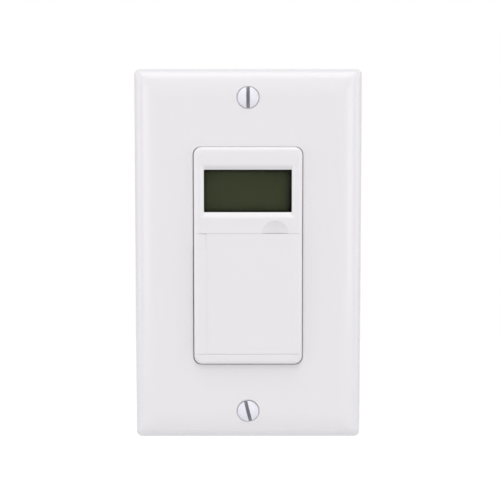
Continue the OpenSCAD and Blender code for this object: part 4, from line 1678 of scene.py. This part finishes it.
    def _paddle(self) -> None:
        """Models the paddle."""
        one = self.insert
        front, back = self.rim
        deep = (one.ahead, front)
        behind = back + PAST
        right = one.across[1]
        outer_z = (-one.half_h - PAST, one.seam - self.door_gap)
        paddle = Workpiece.block(one.across, (one.ahead, back), outer_z)
        paddle.keep(one.envelope(behind))
        for x, gap in self.dashes:
            paddle.carve(Workpiece.block((x, right), (one.ahead, behind), (one.seam - gap, one.seam + PAST)))
        paddle.carve(
            Workpiece.block(one.across, deep, (self.foot_top, self.knuckle_z)),
            Workpiece.block((self.knuckle_x, right), deep, (self.knuckle_z - PAST, one.door_top + PAST)),
        )
        paddle.fuse(Workpiece.slab(self.pan, (back - BITE, self.floor[1]), self.pan_corner))
        inside = self.pan.grown(-self.pan_wall)
        key_y = (self.floor[0] - self.key_cut, self.floor[1] + PAST)
        paddle.carve(
            Workpiece.flared(inside, (front, self.floor[0]), self.pan_lip, self.pan_corner, 3),
            *self.keys.holes(key_y, self.key_room),
        )
        paddle.fuse(self._ear(self.ear_x), self._ear(-self.ear_x))
        bore_r = self.trunnion_r + self.bore_room
        lower, upper = self.bores
        paddle.carve(
            self._upright((self.foot_top, self.knuckle_z), self.hinge_r),
            self._upright((self.knuckle_z - PAST, self.knuckle_z + upper), bore_r),
            self._upright((self.foot_top - lower, self.foot_top + PAST), bore_r),
            self._at_latch(self.latch_slot, (front - PAST, behind)),
        )
        paddle.finish("paddle_moulding", "paddle", ["push_paddle"], [WHITE_PLASTIC])

    def _ear(self, x: float) -> Workpiece:
        """Ear that turns on the pin.

        Args:
            x: Middle of the ear.

        Returns:
            The ear.
        """
        half = self.ear_half
        y, z = self.pivot
        stem_y = (self.floor[1] - self.ear_bite, y)
        ear = Workpiece.block((x - half, x + half), stem_y, (z - self.ear_drop, self.pan.z1))
        ear.fuse(Workpiece.bar(0, 0, (-half, half), self.ear_r).turn(90, "Z").move(x, y, z))
        bore = Workpiece.bar(0, 0, (-half - PAST, half + PAST), self.ear_bore_r)
        return ear.carve(bore.turn(90, "Z").move(x, y, z))

    def _door(self) -> None:
        """Models the door over the keys, with its trunnions and latch tab."""
        one = self.insert
        back = one.front + self.door_t
        behind = back + PAST
        base = self.foot_top + self.door_gap
        top = one.seam - self.door_gap
        shoulder = self.knuckle_z - self.shoulder_gap
        door = one.block((base, top), back)
        for z, radius in zip((base, top), self.door_r):
            door.soften(radius, at(y=one.front, z=z))
        door.keep(one.envelope(behind))
        skin_y = one.front + self.notch_skin
        for room, start in ((self.notch_gap, one.ahead), (self.notch_room, skin_y)):
            notch_x = (one.across[0], self.knuckle_x + room)
            door.carve(Workpiece.block(notch_x, (start, behind), (shoulder, top + PAST)))
        corner_x = (self.knuckle_x, self.dash_end)
        corner_z = (one.seam - self.dashes[-1][1], top + PAST)
        score_x = (self.score_x - self.score_half, self.score_x + self.score_half)
        door.carve(
            Workpiece.block(corner_x, (one.ahead, one.front + self.dash_depth), corner_z),
            Workpiece.block(score_x, (one.ahead, one.front + self.score_depth), (base - PAST, shoulder)),
        )
        lower, upper = self.trunnions
        door.fuse(
            self._upright((shoulder - self.trunnion_bite, shoulder + upper), self.trunnion_r),
            self._upright((base - lower, base + self.trunnion_bite), self.trunnion_r),
            self._at_latch(self.latch_tab, (back - BITE, back + self.latch_t)),
        )
        door.finish("door_moulding", "door", ["access_door"], [WHITE_PLASTIC])


@dataclass(frozen=True)
class Mounting:
    """Steel strap that fixes the switch to a wall box, with its screws and retainers.

    Attributes:
        strap_front: Depth of the strap's front.
        strap_r: Rounding of the strap's edges.
        retainer_r: Rounding of the retainers' edges.
        box_screw_z: Height of a box screw above the middle.
        box_screw: The box screws.
        ground_at: Ground screw's place as x, y and the height of its seat.
        ground_screw: The ground screw.
    """

    strap_front: float = -1.2
    strap_r: float = 0.12
    retainer_r: float = 0.1
    box_screw_z: float = 41.67
    box_screw: Screw = Screw(
        Head.PAN, Drive.SLOT, head_r=3.2, head_t=1.9, shank_r=1.75, length=25.2, neck=2.2, slot_w=1.1,
        slot_turn=55.0,
    )
    ground_at: Point = (12.5, 6.0, -37.6)
    ground_screw: Screw = Screw(
        Head.HEX, Drive.SLOT, head_r=4.0, head_t=2.6, shank_r=1.9, length=4.0, slot_w=1.1, slot_turn=90.0,
    )

    def build(self) -> None:
        """Models the strap, the retainers and the screws."""
        strap = Workpiece.copy_of("mounting_strap")
        strap.finish("strap_plate", "device", ["mounting_strap"], [ZINC], self.strap_r)
        retainers = Workpiece.copy_of("screw_retainers")
        retainers.finish("fibre_washers", "device", ["screw_retainers"], [FIBRE], self.retainer_r)
        for name, side in ENDS:
            seat = (0, self.strap_front, side * self.box_screw_z)
            self.box_screw.place(f"box_screw_{name}", "box_screws", seat, Heading.WALL, ZINC)
        self.ground_screw.place(
            "ground_hex_screw", "ground_screw", self.ground_at, Heading.UP, GREEN_DYE
        )


@dataclass(frozen=True)
class RearHousing:
    """Rear housing with its screws and side terminals.

    Attributes:
        edge_r: Rounding of the back edges.
        side_r: Rounding of the four long edges.
        panel: Bare panel on the back.
        panel_depth: Depth of the panel.
        panel_corner: Corner radius of the panel.
        vents: Number of blind vent slots.
        vent: Half width and half height of a vent slot.
        vent_corner: Corner radius of a vent slot.
        vent_depth: Depth of a vent slot.
        vent_pitch: Distance between vent slots.
        vent_z: Height of the lowest vent slot.
        screw_at: Place of the upper right housing screw's seat.
        screw: The housing screws.
        terminal_at: Place of the upper right terminal screw's seat.
        terminal: The terminal screws.
    """

    edge_r: float = 1.4
    side_r: float = 2.5
    panel: Rect = Rect(-15.0, 15.0, -4.0, 22.0)
    panel_depth: float = 0.25
    panel_corner: float = 1.5
    vents: int = 6
    vent: Span = (9.0, 0.6)
    vent_corner: float = 0.588
    vent_depth: float = 0.8
    vent_pitch: float = 2.6
    vent_z: float = -25.0
    screw_at: Point = (18.9, 14.0, 29.3)
    screw: Screw = Screw(
        Head.PAN, Drive.CROSS, head_r=2.2, head_t=1.8, shank_r=1.2, length=14.4, slot_w=0.5,
        slot_depth=0.9, slot_turn=20.0, pitch=0.9,
    )
    terminal_at: Point = (18.4, 17.0, 9.0)
    terminal: Screw = Screw(
        Head.PAN, Drive.SLOT, head_r=3.5, head_t=2.2, shank_r=1.7, length=5.4, slot_w=1.1,
        slot_depth=1.1, slot_turn=90.0,
    )

    def build(self) -> None:
        """Models the housing, its screws and the terminal screws."""
        box = Box.of("rear_housing")
        back = box.high.y
        housing = Workpiece.copy_of("rear_housing")
        envelope = Workpiece.slab(box.rect, (box.low.y - PAST, back), self.side_r)
        housing.keep(envelope.soften(self.edge_r, at(y=back)))
        panel_y = (back - self.panel_depth, back + PAST)
        housing.carve(Workpiece.slab(self.panel, panel_y, self.panel_corner))
        for row in range(self.vents):
            rect = Rect.round_point(0, self.vent_z + row * self.vent_pitch, *self.vent)
            vent_y = (back - self.vent_depth, back + PAST)
            housing.carve(Workpiece.slab(rect, vent_y, self.vent_corner))
        housing.finish("housing_moulding", "device", ["rear_housing"], [HOUSING])
        self._screws()

    def _screws(self) -> None:
        """Models the housing screws and the terminal screws."""
        x, y, z = self.screw_at
        corners = [(side, end) for side in (1, -1) for end in (1, -1)]
        for number, (side, end) in enumerate(corners, 1):
            seat = (side * x, y, end * z)
            self.screw.place(f"housing_screw_{number}", "housing_screws", seat, Heading.FRONT, ZINC)
        x, y, z = self.terminal_at
        for name, end in ENDS:
            seat = (x, y, end * z)
            self.terminal.place(
                f"hot_screw_{name}", "brass_terminal_screws", seat, Heading.LEFT, BRASS
            )
        seat = (-x, y, z)
        self.terminal.place("neutral_screw", "neutral_terminal_screw", seat, Heading.RIGHT, ZINC)


def dress_frame() -> None:
    """Gives every CAD node the finish of its material slot."""
    for part in frame["record"]["subparts"]:
        node = frame["nodes"][part["node"]]
        node.data.materials.clear()
        node.data.materials.append(SLOT_FINISHES[part["material_slot"]].material())


@dataclass(frozen=True)
class Lamp:
    """One soft lamp.

    Attributes:
        name: Name of the lamp.
        azimuth: Way to the lamp from the front, to the right, in degrees.
        elevation: Height of the lamp above the horizon, in degrees.
        distance: Distance in metres.
        width: Width in metres.
        height: Height in metres.
        power: Power in watts.
    """

    name: str
    azimuth: float
    elevation: float
    distance: float
    width: float
    height: float
    power: float

    def light(self) -> None:
        """Hangs the lamp, turned to the switch."""
        data = bpy.data.lights.new(self.name, "AREA")
        data.shape = "RECTANGLE"
        data.size = self.width
        data.size_y = self.height
        data.energy = self.power
        azimuth = math.radians(self.azimuth)
        elevation = math.radians(self.elevation)
        level = math.cos(elevation)
        way = Vector((math.sin(azimuth) * level, -math.cos(azimuth) * level, math.sin(elevation)))
        lamp = bpy.data.objects.new(self.name, data)
        lamp.location = way * self.distance
        lamp.rotation_euler = (-way).to_track_quat("-Z", "Y").to_euler()
        bpy.context.scene.collection.objects.link(lamp)


@dataclass(frozen=True)
class Studio:
    """Camera, lamps, floor and white surroundings.

    Attributes:
        distance: Distance of the camera in millimetres.
        elevation: Height of the camera above the horizon, in degrees.
        pivot: Point that the camera is placed from.
        aim: Point in the middle of the picture.
        lens: Focal length in millimetres.
        sensor: Width of the camera's sensor in millimetres.
        floor_z: Height of the floor.
        floor_half: Half width of the floor in metres.
        floor_grey: Brightness of the floor's paint.
        floor_glow: Brightness that the camera adds to the floor.
        fill: Strength of the light from all round.
        lamps: The soft lamps.
    """

    distance: float = 450.0
    elevation: float = 5.5
    pivot: Point = (0.0, -3.0, 0.0)
    aim: Point = (0.59, -3.0, 1.55)
    lens: float = 104.8
    sensor: float = 36.0
    floor_z: float = -150.0
    floor_half: float = 0.8
    floor_grey: float = 0.9
    floor_glow: float = 0.38
    fill: float = 0.434
    lamps: tuple[Lamp, ...] = (
        Lamp("upper_lamp", 0.0, 60.0, 2.0, 1.8, 2.0, 24.5),
        Lamp("left_lamp", -75.0, 5.0, 2.0, 1.4, 1.6, 8.5),
        Lamp("right_lamp", 75.0, 5.0, 2.0, 1.4, 1.6, 8.5),
        Lamp("left_strip", -28.0, -2.0, 2.0, 0.35, 1.0, 2.9),
        Lamp("right_strip", 28.0, -2.0, 2.0, 0.35, 1.0, 2.9),
    )

    def build(self) -> None:
        """Sets up the whole studio."""
        bpy.context.scene.view_settings.view_transform = "Standard"
        self._camera()
        self._surroundings()
        self._floor()
        for lamp in self.lamps:
            lamp.light()

    def _camera(self) -> None:
        """Places the camera at the photograph's viewing angle."""
        tilt = math.radians(self.elevation)
        back = Vector((0, -math.cos(tilt), math.sin(tilt)))
        data = bpy.data.cameras.new("view")
        data.lens = self.lens
        data.sensor_width = self.sensor
        camera = bpy.data.objects.new("view", data)
        camera.location = (Vector(self.pivot) + back * self.distance) * MM
        way = Vector(self.aim) * MM - camera.location
        camera.rotation_euler = way.to_track_quat("-Z", "Y").to_euler()
        bpy.context.scene.collection.objects.link(camera)
        bpy.context.scene.camera = camera

    def _seen(self, sheet: NodeSheet) -> Socket:
        """Adds a switch for rays that show the surroundings.

        Args:
            sheet: Where the nodes go.

        Returns:
            Its value, 1 for such rays and 0 for the others.
        """
        path = sheet.add("ShaderNodeLightPath").outputs
        seen = path["Is Camera Ray"]
        for kind in ("Is Glossy Ray", "Is Transmission Ray"):
            either = sheet.add("ShaderNodeMath", {0: seen, 1: path[kind]}, {"operation": "MAXIMUM"})
            seen = either.outputs[0]
        return seen

    def _surroundings(self) -> None:
        """Makes the world: soft light for the switch, plain white where it is seen."""
        world = bpy.data.worlds.new("surroundings")
        bpy.context.scene.world = world
        world.use_nodes = True
        sheet = NodeSheet(world.node_tree)
        light = sheet.add("ShaderNodeBackground", {"Color": WHITE, "Strength": self.fill})
        white = sheet.add("ShaderNodeBackground", {"Color": WHITE, "Strength": 1.0})
        mixed = sheet.add("ShaderNodeMixShader", {
            0: self._seen(sheet), 1: light.outputs[0], 2: white.outputs[0],
        })
        sheet.add("ShaderNodeOutputWorld", {"Surface": mixed.outputs[0]})

    def _floor(self) -> None:
        """Lays the floor, which keeps the shadow of the switch."""
        mesh = bmesh.new()
        bmesh.ops.create_grid(mesh, x_segments=1, y_segments=1, size=self.floor_half)
        bmesh.ops.translate(mesh, vec=(0, 0, self.floor_z * MM), verts=mesh.verts[:])
        data = bpy.data.meshes.new("floor")
        mesh.to_mesh(data)
        mesh.free()
        material = bpy.data.materials.new("pale_floor")
        material.use_nodes = True
        sheet = NodeSheet(material.node_tree)
        paint = sheet.add("ShaderNodeBsdfDiffuse", {"Color": (*(self.floor_grey,) * 3, 1)})
        strength = sheet.add("ShaderNodeMath", {
            0: self._seen(sheet), 1: self.floor_glow,
        }, {"operation": "MULTIPLY"})
        glow = sheet.add("ShaderNodeEmission", {"Color": WHITE, "Strength": strength.outputs[0]})
        both = sheet.add("ShaderNodeAddShader", {0: paint.outputs[0], 1: glow.outputs[0]})
        sheet.add("ShaderNodeOutputMaterial", {"Surface": both.outputs[0]})
        data.materials.append(material)
        floor = bpy.data.objects.new("floor", data)
        bpy.context.scene.collection.objects.link(floor)


def main() -> None:
    """Builds the switch and its studio."""
    logging.basicConfig(level=logging.INFO, format="%(message)s")
    Studio().build()
    dress_frame()
    insert = Insert.from_frame()
    keys = KeySet()
    WallPlate().build()
    DisplayBezel(insert, keys).build()
    PushPaddle(insert, keys).build()
    keys.build()
    Mounting().build()
    RearHousing().build()


if __name__ == "__main__":
    main()
